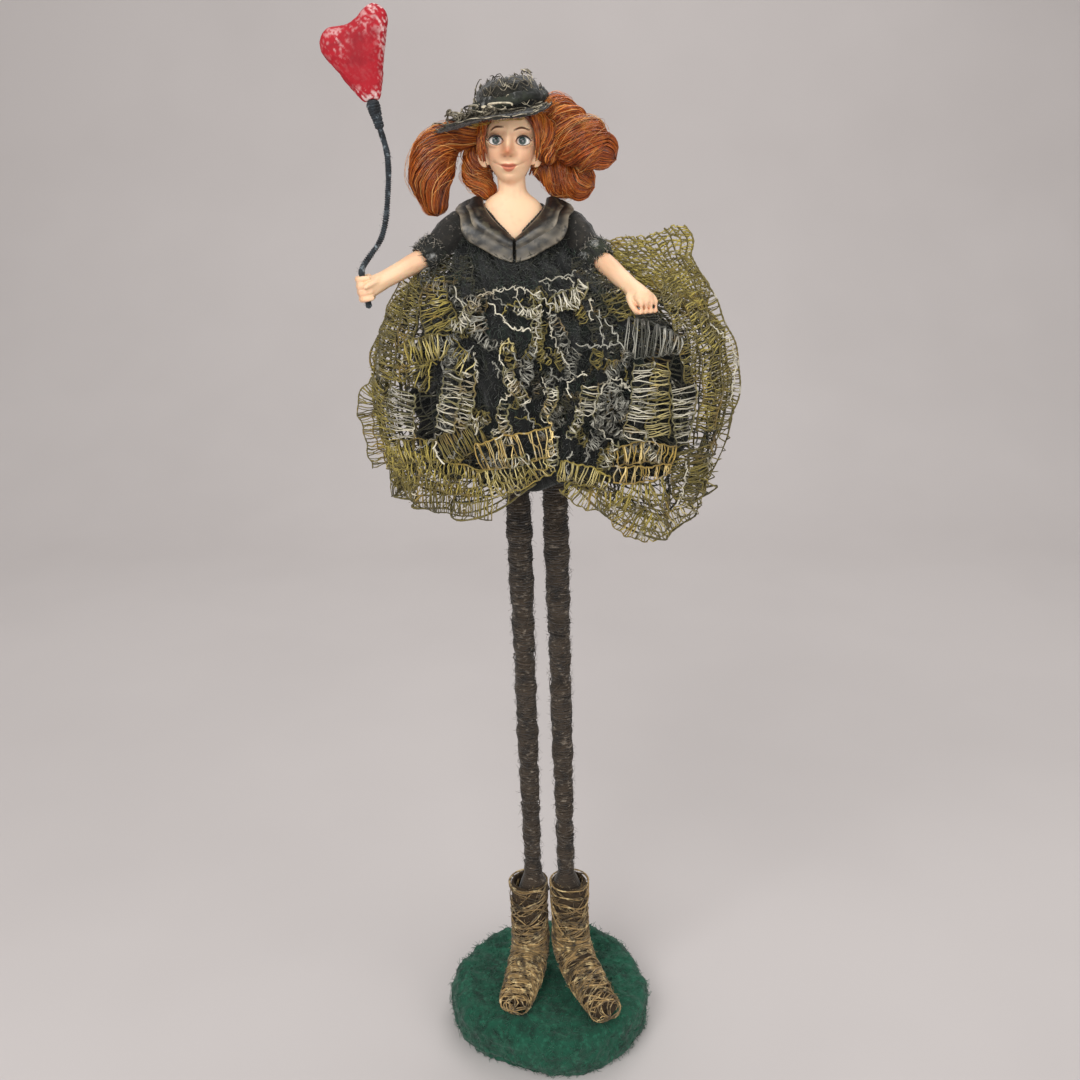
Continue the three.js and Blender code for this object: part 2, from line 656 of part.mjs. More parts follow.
function buildHead() {
  const balls = [RIGHT, LEFT].map((side) => eyeAt(side));
  let bust = bustForm(0).add(lipForm()).subtract(innerBores);
  balls.forEach((at, i) => {
    const [socket, lids] = [EYE_RADIUS + GAP, EYE_RADIUS + GAP + LID];
    bust = bust.add(solid(ellipsoid(at, lids, lids, lids * 0.8, 10, 6)));
    bust = bust.subtract(solid(ellipsoid(at, socket, socket, socket)));
    bust = bust.subtract(eyeOpening(i ? LEFT : RIGHT));
    const eye = solid(ellipsoid(at, EYE_RADIUS, EYE_RADIUS, EYE_RADIUS, 10, 8));
    add(`${nameOf[i ? LEFT : RIGHT]}_eye`, eye, EYE_GLAZE);
  });
  add('clay_bust', mainBody(bust), CLAY);
  const ears = earForm(RIGHT, GAP).add(earForm(LEFT, GAP));
  add('hair_cap', mainBody(hairForm(0).subtract(headForm(2 * GAP, 14, 9)).subtract(ears)), HAIR);
}

// Hat, set aslant on the hair

const crownRadius = 0.87 * faceWidth + HAIR_THICKNESS + GAP + HAT_WALL;
const hatPlace = new THREE.Matrix4().compose(
  onHead(0.04, 0.1, 0.66),
  new THREE.Quaternion().setFromEuler(new THREE.Euler(0.02, -0.2, 0)),
  v3(1, 1, 1),
);

/** A lathe-turned piece of the hat in its own frame, shaped by warp, then set on the head. */
function hatPiece(profile, segments, warp) {
  const points = profile.map(([r, z]) => new THREE.Vector2(r, z));
  const geometry = new THREE.LatheGeometry(points, segments).rotateX(Math.PI / 2);
  const place = geometry.attributes.position;
  for (let i = 0; i < place.count; i++) {
    const at = v3(place.getX(i), place.getY(i), place.getZ(i));
    const radius = Math.hypot(at.x, at.y);
    warp(at, radius, Math.atan2(at.y, at.x));
    place.setXYZ(i, at.x, at.y, at.z);
  }
  return solid(geometry.applyMatrix4(hatPlace));
}

const CROWN_SWELL = 1.02; // how far the crown bulges past its foot

function crownForm(grow) {
  const [r, top] = [crownRadius + grow, CROWN_HEIGHT + grow];
  const profile = [[0, -grow], [r, -grow], [r * CROWN_SWELL, top * 0.4], [r * 0.9, top * 0.78]];
  profile.push([r * 0.55, top * 0.97], [0, top]);
  return hatPiece(profile, 16, () => {});
}

function crownHollow() {
  const [r, top] = [crownRadius - HAT_WALL, CROWN_HEIGHT - HAT_WALL];
  const profile = [[0, -3], [r, -3], [r, top * 0.4], [r * 0.88, top * 0.76]];
  profile.push([r * 0.53, top * 0.95], [0, top]);
  return hatPiece(profile, 16, () => {});
}

/** The brim: a wavy ring that reaches furthest over the doll's right side. */
function brimForm(grow) {
  const [inner, outer, half] = [crownRadius + GAP - grow, BRIM_RADIUS + grow, HAT_WALL / 2 + grow];
  const middle = (inner + outer) / 2;
  const profile = [[inner, -half], [middle, -half], [outer, -half], [outer, half], [middle, half]];
  profile.push([inner, half], [inner, -half]);
  return hatPiece(profile, 26, (at, radius, turn) => {
    const share = (radius - crownRadius) / (BRIM_RADIUS - crownRadius);
    const reach = 1 + 0.34 * share * (0.35 - Math.cos(turn));
    at.x *= reach;
    at.y *= 1 + 0.1 * share;
    at.z += share * (1.4 * Math.cos(3 * turn + 0.6) - 0.8);
  });
}

/** The gathered gauze band around the crown. */
function bandForm(grow) {
  const low = HAT_WALL / 2 + GAP + 2.2;
  const seat = crownRadius * CROWN_SWELL + GAP;
  const [inner, outer] = [seat - grow, seat + BAND_THICKNESS + grow];
  const bulge = [outer, low + BAND_HEIGHT * 0.4];
  const profile = [[inner, low - grow], [outer - 0.8, low - grow], bulge];
  const high = low + BAND_HEIGHT + grow;
  profile.push([inner + 0.6, high], [inner, high], [inner, low - grow]);
  return hatPiece(profile, 27, (at, radius, turn) => {
    const swell = radius > inner + 0.1 ? 1 + 0.05 * Math.cos(9 * turn) : 1;
    at.x *= swell;
    at.y *= swell;
    at.z += 0.6 * Math.sin(5 * turn);
  });
}

function buildHat() {
  const scalp = skullForm(GAP).add(hairForm(GAP));
  const crown = crownForm(0).subtract(crownHollow()).subtract(scalp);
  add('hat_crown', mainBody(crown), HAT_FELT);
  add('hat_brim', mainBody(brimForm(0).subtract(scalp)), HAT_FELT);
  const band = bandForm(0).subtract(brimForm(GAP));
  add('hat_band', mainBody(band), DARK_GAUZE);
}

// Hair: plump ringlets hung from the sides of the head

const CURLS = {
  curl_right_long: {
    path: [[-1.35, 0.35, 0.22], [-2.2, 0.3, 0.1], [-2.8, 0.2, -0.3], [-3, 0.2, -0.85], [-2.85, 0.2, -1.45]],
    fullness: [0.435, 0.609, 0.835, 0.887, 0.478],
  },
  curl_left_big: {
    path: [[1.65, 0.2, 0.1], [2.3, 0, 0.02], [2.9, -0.1, -0.08], [3.35, -0.1, -0.22]],
    fullness: [0.609, 0.939, 1, 0.696],
  },
  curl_left_low: {
    path: [[1.3, 0.55, -0.5], [1.95, 0.5, -0.78], [2.6, 0.4, -0.92]],
    fullness: [0.565, 0.8, 0.652],
  },
  curl_left_top: {
    path: [[0.85, 0.35, 0.72], [1.6, 0.4, 0.7], [2.35, 0.35, 0.5]],
    fullness: [0.478, 0.652, 0.522],
  },
  curl_left_front: {
    path: [[0.95, -0.15, 0.5], [1.3, -0.15, 0.16], [1.35, -0.05, -0.3]],
    fullness: [0.348, 0.478, 0.391],
  },
  curl_right_inner: {
    path: [[-1.3, 0.4, -0.3], [-1.3, 0.45, -0.7], [-0.95, 0.45, -1.12]],
    fullness: [0.435, 0.574, 0.391],
  },
};

function buildCurls() {
  const hat = brimForm(GAP).add(crownForm(GAP)).add(bandForm(GAP));
  let taken = bustForm(GAP).add(hairForm(GAP)).add(hat);
  for (const [name, { path, fullness }] of Object.entries(CURLS)) {
    const points = path.map((at) => onHead(...at));
    const radii = fullness.map((share) => share * CURL_RADIUS);
    const curl = (grow) => solid(sweep(points, radii, Y_AXIS, { sides: 10, steps: 6, grow }));
    add(name, mainBody(curl(0).subtract(taken)), HAIR);
    taken = taken.add(curl(GAP));
  }
}

// Collar: two satin lapels over the bodice, each between an inner and an outer edge

const LAPEL_INNER = [[14.8, 1.5, 12.6], [13.2, -7.4, 8.3], [7.3, -12.9, 1.5], [0.6, -14.6, -4]];
const LAPEL_OUTER = [[26, 1.5, 10.8], [25.5, -10.5, 5.5], [18, -18, -6], [0.7, -18.8, -13]];

function buildLapel(side) {
  const edge = (points) =>
    new THREE.CatmullRomCurve3(
      points.map(([x, y, z]) => v3(torsoX(shoulderZ) + side * x, y, shoulderZ + z)),
    );
  const [inner, outer] = [edge(LAPEL_INNER), edge(LAPEL_OUTER)];
  const leaf = sheet(
    (u, v) => {
      const point = inner.getPoint(u).lerp(outer.getPoint(u), v);
      return point.add(v3(0, -1, 0.6).multiplyScalar(1.6 * Math.sin(Math.PI * v)));
    },
    10,
    3,
    LAPEL_THICKNESS,
  );
  const body = bustForm(GAP).add(torsoForm(highWaistZ - 8, neckRootZ + 7, GAP));
  add(`${nameOf[side]}_lapel`, mainBody(solid(leaf).subtract(body)), SATIN);
}

// Arms: sleeve, gathered cuff, wire and clay forearm with its hand

const UPPER_AIM = { [RIGHT]: v3(-17, -11, -13.5).normalize(), [LEFT]: v3(14.5, -13, -14).normalize() };
const FORE_AIM = { [RIGHT]: v3(-23, -4, -12).normalize(), [LEFT]: v3(17, -24, -14).normalize() };
const elbowAt = (side) => shoulderAt(side).addScaledVector(UPPER_AIM[side], UPPER_ARM_LENGTH);
const palmAt = (side) => elbowAt(side).addScaledVector(FORE_AIM[side], forearm[side]);

function shoulderBall(side, grow) {
  const r = SLEEVE_RADIUS + grow;
  return ellipsoid(shoulderAt(side), r, r, r, 16, 10);
}

function sleeveForm(side, grow) {
  const along = (length) => shoulderAt(side).addScaledVector(UPPER_AIM[side], length);
  const reach = UPPER_ARM_LENGTH - CUFF_LENGTH;
  const points = [along(-0.43 * SLEEVE_RADIUS), along(0), along(reach / 2), along(reach)];
  const radii = [SLEEVE_RADIUS * 0.9, SLEEVE_RADIUS, SLEEVE_RADIUS * 0.94, CUFF_RADIUS * 0.85];
  return solid(sweep(points, radii, Z_AXIS, { sides: 12, steps: 5, grow }));
}

/** The clay forearm, from inside the cuff to the end of the palm. */
function forearmForm(side, grow) {
  const along = (reach) => elbowAt(side).addScaledVector(FORE_AIM[side], reach);
  const length = forearm[side];
  const points = [along(0), along(length * 0.65), along(length), along(length + PALM / 3)];
  const radii = [WRIST_RADIUS * 1.35, WRIST_RADIUS, [PALM / 2, PALM * 0.46], [PALM * 0.42, PALM * 0.4]];
  return solid(sweep(points, radii, Z_AXIS, { sides: 8, steps: 5, grow }));
}

function armWire(side, grow) {
  const points = [
    shoulderAt(side),
    shoulderAt(side).lerp(elbowAt(side), 0.8),
    elbowAt(side).addScaledVector(FORE_AIM[side], forearm[side] * 0.4 + grow),
  ];
  return solid(wire(points, ARM_WIRE_RADIUS + grow, 6, 6));
}

const fingerSweep = (points, radius) => {
  const tips = points.map((_, i) => (i + 1 === points.length ? radius * 0.8 : radius));
  return solid(sweep(points, tips, Z_AXIS, { sides: 5, steps: 3 }));
};

// The fist's frame: ahead along the forearm, up along the stem, out to the front
const stemUp = v3(-0.155, 0, 0.988).normalize();
const fistAhead = FORE_AIM[RIGHT].clone().addScaledVector(stemUp, -FORE_AIM[RIGHT].dot(stemUp)).normalize();
const fistOut = stemUp.clone().cross(fistAhead);
const inFist = (ahead, out, up) =>
  palmAt(RIGHT).addScaledVector(fistAhead, ahead).addScaledVector(fistOut, out).addScaledVector(stemUp, up);
const stemInFist = inFist(STEM_AHEAD, 0, 0);

/** The forearm with four fingers closed around the stem, and the thumb across them. */
function fist() {
  let hand = forearmForm(RIGHT, 0);
  for (let finger = 0; finger < 4; finger++) {
    const up = (1.5 - finger) * FINGER_STEP;
    const bend = [[-0.5, -3.4], [5, -3.4], [7, 0.4], [4, 3.9], [0, 4.1]].map(([a, o]) => inFist(a, o, up));
    hand = hand.add(fingerSweep(bend, FINGER_RADIUS));
  }
  const thumb = [inFist(-4.5, 2.4, 2.4), inFist(-1, 5, 2.2), inFist(2.8, 5.9, 0.8)];
  return hand.add(fingerSweep(thumb, FINGER_RADIUS));
}

/** The forearm with a loosely closed hand, its fingers curled under the palm. */
function restingHand() {
  const ahead = FORE_AIM[LEFT];
  const across = ahead.clone().cross(Z_AXIS).normalize();
  const back = across.clone().cross(ahead);
  const at = (a, b, c) =>
    palmAt(LEFT).addScaledVector(ahead, a).addScaledVector(across, b).addScaledVector(back, c);
  let hand = forearmForm(LEFT, 0);
  for (let finger = 0; finger < 4; finger++) {
    const b = (finger - 1.5) * (FINGER_STEP - 0.3);
    const bend = [[1.5, 1.2], [6, 0.4], [7.8, -3], [4, -5.2]].map(([a, c]) => at(a, b, c));
    hand = hand.add(fingerSweep(bend, FINGER_RADIUS));
  }
  const thumb = [at(-3, 4.6, -1), at(2, 6, -2.4), at(5, 4.4, -4.4)];
  return hand.add(fingerSweep(thumb, FINGER_RADIUS));
}

function buildArm(side) {
  const name = nameOf[side];
  const bore = armWire(side, GAP);
  const cuffRun = [CUFF_LENGTH + 1, CUFF_LENGTH / 2, 0].map((back) => UPPER_ARM_LENGTH - back);
  const along = cuffRun.map((length) => shoulderAt(side).addScaledVector(UPPER_AIM[side], length));
  const gathers = { sides: 12, steps: 3 };
  const cuffRadii = [CUFF_RADIUS, CUFF_RADIUS * 1.12, CUFF_RADIUS * 0.96];
  const cuff = solid(ruffled(along, cuffRadii, gathers)).subtract(sleeveForm(side, GAP));
  const hand = side === RIGHT ? fist() : restingHand();
  add(`${name}_sleeve`, mainBody(sleeveForm(side, 0).subtract(bore)), DARK_CLOTH);
  add(`${name}_cuff`, mainBody(cuff.subtract(forearmForm(side, GAP)).subtract(bore)), DARK_GAUZE);
  add(`${name}_arm_wire`, armWire(side, 0), STEEL);
  const stem = rod(inFist(STEM_AHEAD, 0, -2 * PALM), inFist(STEM_AHEAD, 0, 2 * PALM), STEM_RADIUS + GAP);
  const held = side === RIGHT ? hand.subtract(solid(stem)) : hand;
  add(`${name}_hand`, mainBody(held.subtract(bore)), CLAY);
}

/** A sweep whose skin is drawn up in small gathers. */
function ruffled(points, radii, { sides, steps }) {
  const geometry = sweep(points, radii, Z_AXIS, { sides, steps });
  const place = geometry.attributes.position;
  const axis = new THREE.Line3(points[0], points[points.length - 1]);
  for (let i = 0; i < place.count; i++) {
    const at = v3(place.getX(i), place.getY(i), place.getZ(i));
    const middle = axis.closestPointToPoint(at, false, v3(0, 0, 0));
    const swell = i % 2 ? 1.05 : 0.95;
    at.sub(middle).multiplyScalar(swell).add(middle);
    place.setXYZ(i, at.x, at.y, at.z);
  }
  return geometry;
}

// Skirt: gauze sheets about the torso, each a fan of folds between two bearings from the front

const SEAT = GAP * 1.1;
const SKIRT_X = 0; // middle of the skirt at its widest
const skirtProfile = (wide, deep, from, drop) =>
  new THREE.CatmullRomCurve3(
    [
      [0, 0, 0],
      [0.54, 0.46, 0.06],
      [0.8, 0.7, 0.14],
      [0.95, 0.89, 0.28],
      [1, 1, 0.48],
      [0.98, 1, 0.67],
      [0.9, 0.96, 0.85],
      [0.83, 0.92, 1],
    ].map(([w, d, fall]) => {
      const atWaist = torsoSize(from);
      const across = THREE.MathUtils.lerp(atWaist[0] + SEAT, wide, w);
      return v3(across, THREE.MathUtils.lerp(atWaist[1] + SEAT, deep, d), from - fall * drop);
    }),
  );

/** A point on a skirt layer: bearing in degrees from the front, down from the waist (0) to the hem (1). */
function skirtPoint(profile, bearing, down, folds, hemLift) {
  const size = profile.getPoint(down);
  const turn = THREE.MathUtils.degToRad(bearing);
  const ease = THREE.MathUtils.smoothstep(down, 0.1, 0.9);
  const fold = folds * ease * Math.cos(FOLDS * turn + 2.2 * down);
  const settle = THREE.MathUtils.smoothstep(down, 0, 0.45);
  const middle = THREE.MathUtils.lerp(torsoX(highWaistZ), SKIRT_X, settle);
  return v3(
    middle + (size.x + fold) * Math.sin(turn),
    TORSO_Y - (size.y + fold) * Math.cos(turn),
    size.z + hemLift(bearing) * down * down,
  );
}

const outerProfile = skirtProfile(SKIRT_HALF_WIDTH, SKIRT_HALF_DEPTH, highWaistZ, SKIRT_DROP);
const backProfile = skirtProfile(
  SKIRT_HALF_WIDTH - TUCK,
  SKIRT_HALF_DEPTH - TUCK,
  highWaistZ - TUCK,
  SKIRT_DROP - TUCK,
);
const petticoatTop = highWaistZ - 2 * TUCK;
const petticoatProfile = skirtProfile(
  SKIRT_HALF_WIDTH * PETTICOAT_SHARE,
  SKIRT_HALF_DEPTH * PETTICOAT_SHARE,
  petticoatTop,
  SKIRT_DROP * 0.79,
);
const hemLift = (bearing) =>
  CENTRE_RISE * Math.exp(-((bearing / 16) ** 2)) - LEFT_DIP * Math.exp(-(((bearing - 48) / 24) ** 2));
const level = () => 0;

function addCloth(name, geometry, finish) {
  const body = torsoForm(hipZ, neckRootZ, GAP);
  add(name, mainBody(solid(geometry).subtract(body)), finish);
}

function buildSkirt() {
  for (const side of [RIGHT, LEFT]) {
    const panel = sheet(
      (u, v) => {
        const opening = THREE.MathUtils.lerp(52, 3, THREE.MathUtils.smoothstep(v, 0, 0.95));
        const bearing = side * THREE.MathUtils.lerp(opening, 148, u);
        return skirtPoint(outerProfile, bearing, v, FOLD_DEPTH, hemLift);
      },
      20,
      6,
      GAUZE,
    );
    addCloth(`skirt_${nameOf[side]}`, panel, GAUZE_GOLD);
  }
  const back = sheet(
    (u, v) => skirtPoint(backProfile, THREE.MathUtils.lerp(140, 220, u), v, FOLD_DEPTH, level),
    8,
    6,
    GAUZE,
  );
  addCloth('skirt_back', back, GAUZE_GOLD);
  for (const [name, from, to] of [['front', -88, 88], ['back', 92, 268]]) {
    const half = sheet(
      (u, v) => skirtPoint(petticoatProfile, THREE.MathUtils.lerp(from, to, u), v, FOLD_DEPTH * 0.6, level),
      14,
      5,
      GAUZE,
    );
    addCloth(`petticoat_${name}`, half, TULLE);
  }
}

const WING_BEARING = 100; // degrees from the front
// Top edges of the wings, from the middle of the high waist, as shares of the skirt's half-width
const WING_TOP = {
  [RIGHT]: [[0.302, 0.081, 0.14], [0.442, 0.07, 0.116], [0.547, 0.058, 0.081]],
  [LEFT]: [[0.36, 0.105, 0.174], [0.651, 0.163, 0.186], [0.93, 0.209, 0.256]],
};
const WING_CLEAR = GAP + GAUZE * 0.75;

/** A gauze fan standing up behind an arm, its foot along the shoulder of the skirt. */
function buildWing(side, reach) {
  const waist = v3(torsoX(shoulderZ), 0, highWaistZ);
  const place = ([x, y, z]) => v3(side * x, y, z).multiplyScalar(SKIRT_HALF_WIDTH).add(waist);
  const upper = new THREE.CatmullRomCurve3(WING_TOP[side].map(place));
  const clear = v3(side * 0.5, 0, 0.85).multiplyScalar(WING_CLEAR);
  const foot = (u) => {
    const down = THREE.MathUtils.lerp(0.03, reach, u);
    return skirtPoint(outerProfile, side * WING_BEARING, down, FOLD_DEPTH, hemLift).add(clear);
  };
  const fan = sheet(
    (u, v) => {
      const wave = 1.6 * Math.sin(3 * Math.PI * u) * Math.sin(Math.PI * v * 0.8);
      return upper.getPoint(u).lerp(foot(u), v).add(v3(0, wave, 0));
    },
    9,
    4,
    GAUZE,
  );
  addCloth(`skirt_${nameOf[side]}_wing`, fan, GAUZE_GOLD);
}

// Sideways, as a share of the way out to the petticoat, and down from the high waist
const FRILL_LINE = [[7, 0, 7], [8.5, 0.312, -3], [11, 0.656, -11], [12.5, 0.868, -24], [13, 1, -36]];

/** A gathered frill that falls from under the collar over the petticoat's front. */
function buildFrill(side) {
  const place = ([x, out, z]) => {
    const ahead = THREE.MathUtils.lerp(FRILL_ROOT, SKIRT_HALF_DEPTH * 0.897, out);
    return v3(torsoX(highWaistZ) + side * x, -ahead, highWaistZ + z);
  };
  const line = new THREE.CatmullRomCurve3(FRILL_LINE.map(place));
  const frill = sheet(
    (u, v) => {
      const out = (v - 0.35) * FRILL_WIDTH * (0.6 + 0.4 * u);
      const wave = 1.6 * Math.sin(7 * Math.PI * u) * (0.3 + v);
      return line.getPoint(u).add(v3(side * out, 0.02 * out * out - wave * 0.8, wave * 0.5));
    },
    14,
    2,
    GAUZE,
  );
  addCloth(`front_frill_${nameOf[side]}`, frill, DARK_GAUZE);
}

// Heart on its wound stem

const STEM_BENDS = [[8.5, 1, 0.29], [11.8, 2.6, 0.53], [12, 3.8, 0.73], [9.2, 4.6, 0.87], [6.4, 5, 1]];
const stemPoints = [-8.5, -3, 3, 8].map((up) => stemInFist.clone().addScaledVector(stemUp, up));
for (const [x, y, share] of STEM_BENDS) {
  stemPoints.push(stemInFist.clone().add(v3(x, y, share * STEM_LENGTH)));
}
const heartFoot = stemPoints[stemPoints.length - 1];
const HEART_TILT = THREE.MathUtils.degToRad(-13);
const heartUp = v3(Math.sin(HEART_TILT), 0, Math.cos(HEART_TILT));

const stemWire = (grow) => {
  const inHeart = heartFoot.clone().addScaledVector(heartUp, HEART_HEIGHT * 0.3 + grow);
  return solid(wire([...stemPoints, inHeart], STEM_WIRE_RADIUS + grow, 15, 6));
};
const bindingForm = (grow) => {
  const run = stemPoints.slice(-2);
  const points = [run[0], run[0].clone().lerp(run[1], 0.5), run[1]];
  const radii = [1.15, 1.5, 2].map((share) => share * STEM_RADIUS);
  return solid(sweep(points, radii, Y_AXIS, { sides: 10, steps: 4, grow }));
};

// Up one side of the heart from its blunt point and down the other, as shares of half its width and of its height
const HEART_OUTLINE = [
  [0.24, 0.01], [0.58, 0.43], [0.97, 0.84], [0.94, 0.97], [0.64, 1.07], [0.24, 0.97],
  [-0.16, 0.89], [-0.73, 0.92], [-1.04, 0.71], [-0.69, 0.41], [-0.23, 0.02],
];

/** A puffy, lopsided heart in the doll's frontal plane, its point at the top of the stem. */
function heartForm() {
  const HEART_SIDES = 22;
  const LAYERS = [[-0.5, 0.42], [-0.34, 0.8], [-0.12, 0.98], [0.12, 0.98], [0.34, 0.8], [0.5, 0.42]];
  const place = ([across, up]) => v3((across * HEART_WIDTH) / 2, 0, up * HEART_HEIGHT);
  const edge = new THREE.CatmullRomCurve3(HEART_OUTLINE.map(place), true);
  const outline = edge.getPoints(HEART_SIDES).slice(0, HEART_SIDES);
  const middle = HEART_HEIGHT / 2;
  const rings = LAYERS.map(([depth, share]) =>
    outline.map(({ x, z }) => v3(x * share, depth * HEART_DEPTH, middle + (z - middle) * share)),
  );
  return solid(loft(rings).rotateY(HEART_TILT).translate(heartFoot.x, heartFoot.y, heartFoot.z));
}

function buildHeart() {
  const wound = new THREE.CatmullRomCurve3(stemPoints.slice(0, -1));
  const ridge = STEM_RADIUS * 0.12;
  const bore = stemWire(GAP * 0.6);
  const sleeve = solid(woundSleeve(wound, () => STEM_RADIUS - ridge, STEM_TURNS, ridge, 6));
  add('stem_wire', stemWire(0), STEEL);
  add('stem_thread', mainBody(sleeve.subtract(bindingForm(GAP)).subtract(bore)), STEM_THREAD);
  add('stem_binding', mainBody(bindingForm(0).subtract(bore)), STEM_THREAD);
  add('heart', mainBody(heartForm().subtract(bindingForm(GAP)).subtract(bore)), HEART_RED);
}

buildBase();
for (const side of [RIGHT, LEFT]) {
  buildLeg(side);
  buildBoot(side);
}
buildBody();
buildHead();
buildHat();
buildCurls();
for (const side of [RIGHT, LEFT]) {
  buildLapel(side);
  buildArm(side);
  buildFrill(side);
}
buildSkirt();
buildWing(RIGHT, 0.22);
buildWing(LEFT, 0.43);
buildHeart();

export default doll;
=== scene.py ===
"""Looks of a clay doll on long wound legs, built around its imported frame.

Sizes in the classes are millimetres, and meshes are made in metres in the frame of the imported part.
The doll faces -Y. Left and right are the doll's own: its right hand, on the -X side, holds the heart.
"""

import logging
import math
from dataclasses import dataclass, field
from enum import Enum
from typing import Callable, ClassVar, Sequence

import bpy
import numpy as np
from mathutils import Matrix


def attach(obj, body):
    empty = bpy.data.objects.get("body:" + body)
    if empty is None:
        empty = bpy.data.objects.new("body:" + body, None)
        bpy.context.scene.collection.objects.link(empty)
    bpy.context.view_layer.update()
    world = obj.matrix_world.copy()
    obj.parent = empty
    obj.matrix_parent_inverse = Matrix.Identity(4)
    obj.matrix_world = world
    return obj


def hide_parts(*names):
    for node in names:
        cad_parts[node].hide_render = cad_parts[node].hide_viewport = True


LOG = logging.getLogger("clay_doll")
# Metres in a millimetre, a full turn, the range of a random phase, and what keeps a divisor off zero
MM = 0.001
TAU = 2 * np.pi
PHASE = 6.28
TINY = 1e-9
Array = np.ndarray
Pair = tuple[float, float]
Triple = tuple[float, float, float]
Place = Callable[[Array, Array], Array]
Piece = bpy.types.Object
Socket = bpy.types.NodeSocket

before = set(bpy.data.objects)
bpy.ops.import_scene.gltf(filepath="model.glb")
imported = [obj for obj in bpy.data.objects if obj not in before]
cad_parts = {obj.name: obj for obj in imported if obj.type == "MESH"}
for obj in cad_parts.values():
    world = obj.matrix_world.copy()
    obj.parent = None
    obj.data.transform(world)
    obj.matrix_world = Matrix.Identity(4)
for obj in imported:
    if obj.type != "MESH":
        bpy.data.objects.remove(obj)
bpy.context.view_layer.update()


class Body(Enum):
    """The bodies of the frame that pieces ride on."""

    DOLL = "doll"
    RIGHT_ARM = "right_arm"
    LEFT_ARM = "left_arm"
    HEART_STEM = "heart_stem"


class Side(Enum):
    """The doll's own sides, with the sign of each along X."""

    RIGHT = -1
    LEFT = 1

    @property
    def word(self) -> str:
        """The side's name in piece and node names."""
        return self.name.lower()

    @property
    def arm(self) -> Body:
        """The body of this side's arm."""
        return Body.RIGHT_ARM if self is Side.RIGHT else Body.LEFT_ARM


# Numbers and lines


def linear(code: str) -> tuple[float, float, float, float]:
    """Turns an sRGB hex value to a linear colour.

    Args:
        code: the colour as #rrggbb.

    Returns:
        Linear red, green and blue, with an alpha of one.
    """
    parts = [int(code[i : i + 2], 16) / 255 for i in (1, 3, 5)]
    red, green, blue = (c / 12.92 if c <= 0.04045 else ((c + 0.055) / 1.055) ** 2.4 for c in parts)
    return red, green, blue, 1.0


def ease(value: Array, start: float, end: float) -> Array:
    """A smooth step of value from 0 at start to 1 at end."""
    share = np.clip((value - start) / (end - start), 0, 1)
    return share * share * (3 - 2 * share)


def unit(vectors: Array) -> Array:
    """Vectors scaled to a length of one."""
    return vectors / np.maximum(np.linalg.norm(vectors, axis=-1, keepdims=True), TINY)


def bump(x: Array, z: Array, at: Pair, size: Pair) -> Array:
    """A soft hump of height one about a place on a plane.

    Args:
        x: first coordinates.
        z: second coordinates.
        at: the hump's middle.
        size: its half-width and half-height.

    Returns:
        The hump's height at each place.
    """
    return np.exp(-(((x - at[0]) / size[0]) ** 2) - ((z - at[1]) / size[1]) ** 2)


def speckle(points: Array, size: float, seed: int) -> Array:
    """Smooth noise from 0 to 1 at places.

    Args:
        points: the places, one row each.
        size: width of a speck, in millimetres.
        seed: of the noise.

    Returns:
        The noise at each place.
    """
    cells = 32
    grid = np.random.default_rng(seed).random((cells, cells, cells))
    cell = np.floor(points / size).astype(int)
    w = points / size - cell
    w = w * w * (3 - 2 * w)
    total = np.zeros(len(points))
    for corner in np.ndindex(2, 2, 2):
        share = np.prod(np.where(corner, w, 1 - w), axis=1)
        total += share * grid[tuple(((cell + corner) % cells).T)]
    return total


class Line:
    """A smooth line through points, in millimetres."""

    # Places that are worked out along the line, and the shortest step between two points
    SAMPLES = 400
    SHORTEST = 1e-6

    def __init__(self, points: Sequence[Sequence[float]]) -> None:
        """Draws the line.

        Args:
            points: the places it goes through.
        """
        given = np.array(points, float)
        padded = np.vstack([2 * given[0] - given[1], given, 2 * given[-1] - given[-2]])
        self.t = np.linspace(0, 1, self.SAMPLES)
        along = self.t * (len(given) - 1)
        first = np.minimum(along.astype(int), len(given) - 2)
        w = (along - first)[:, None]
        p0, p1, p2, p3 = (padded[first + k] for k in range(4))
        d0, d1, d2 = (
            np.maximum(np.linalg.norm(b - a, axis=1, keepdims=True), self.SHORTEST) ** 0.5
            for a, b in ((p0, p1), (p1, p2), (p2, p3))
        )
        m1 = ((p1 - p0) / d0 - (p2 - p0) / (d0 + d1) + (p2 - p1) / d1) * d1
        m2 = ((p2 - p1) / d1 - (p3 - p1) / (d1 + d2) + (p3 - p2) / d2) * d1
        bend = -3 * p1 + 3 * p2 - 2 * m1 - m2
        self.table = p1 + m1 * w + bend * w**2 + (2 * p1 - 2 * p2 + m1 + m2) * w**3
        self.slope = unit(np.gradient(self.table, axis=0))

    def read(self, table: Array, t: Array) -> Array:
        """Rows of one of the line's tables, at shares of its length."""
        return np.stack([np.interp(t, self.t, column) for column in table.T], -1)

    def at(self, t: Array) -> Array:
        """Places on the line, for shares of its length from 0 to 1."""
        return self.read(self.table, t)

    def tangent(self, t: Array) -> Array:
        """Directions of the line at shares of its length."""
        return unit(self.read(self.slope, t))

    def length(self) -> float:
        """Its length in millimetres."""
        return float(np.linalg.norm(np.diff(self.table, axis=0), axis=1).sum())


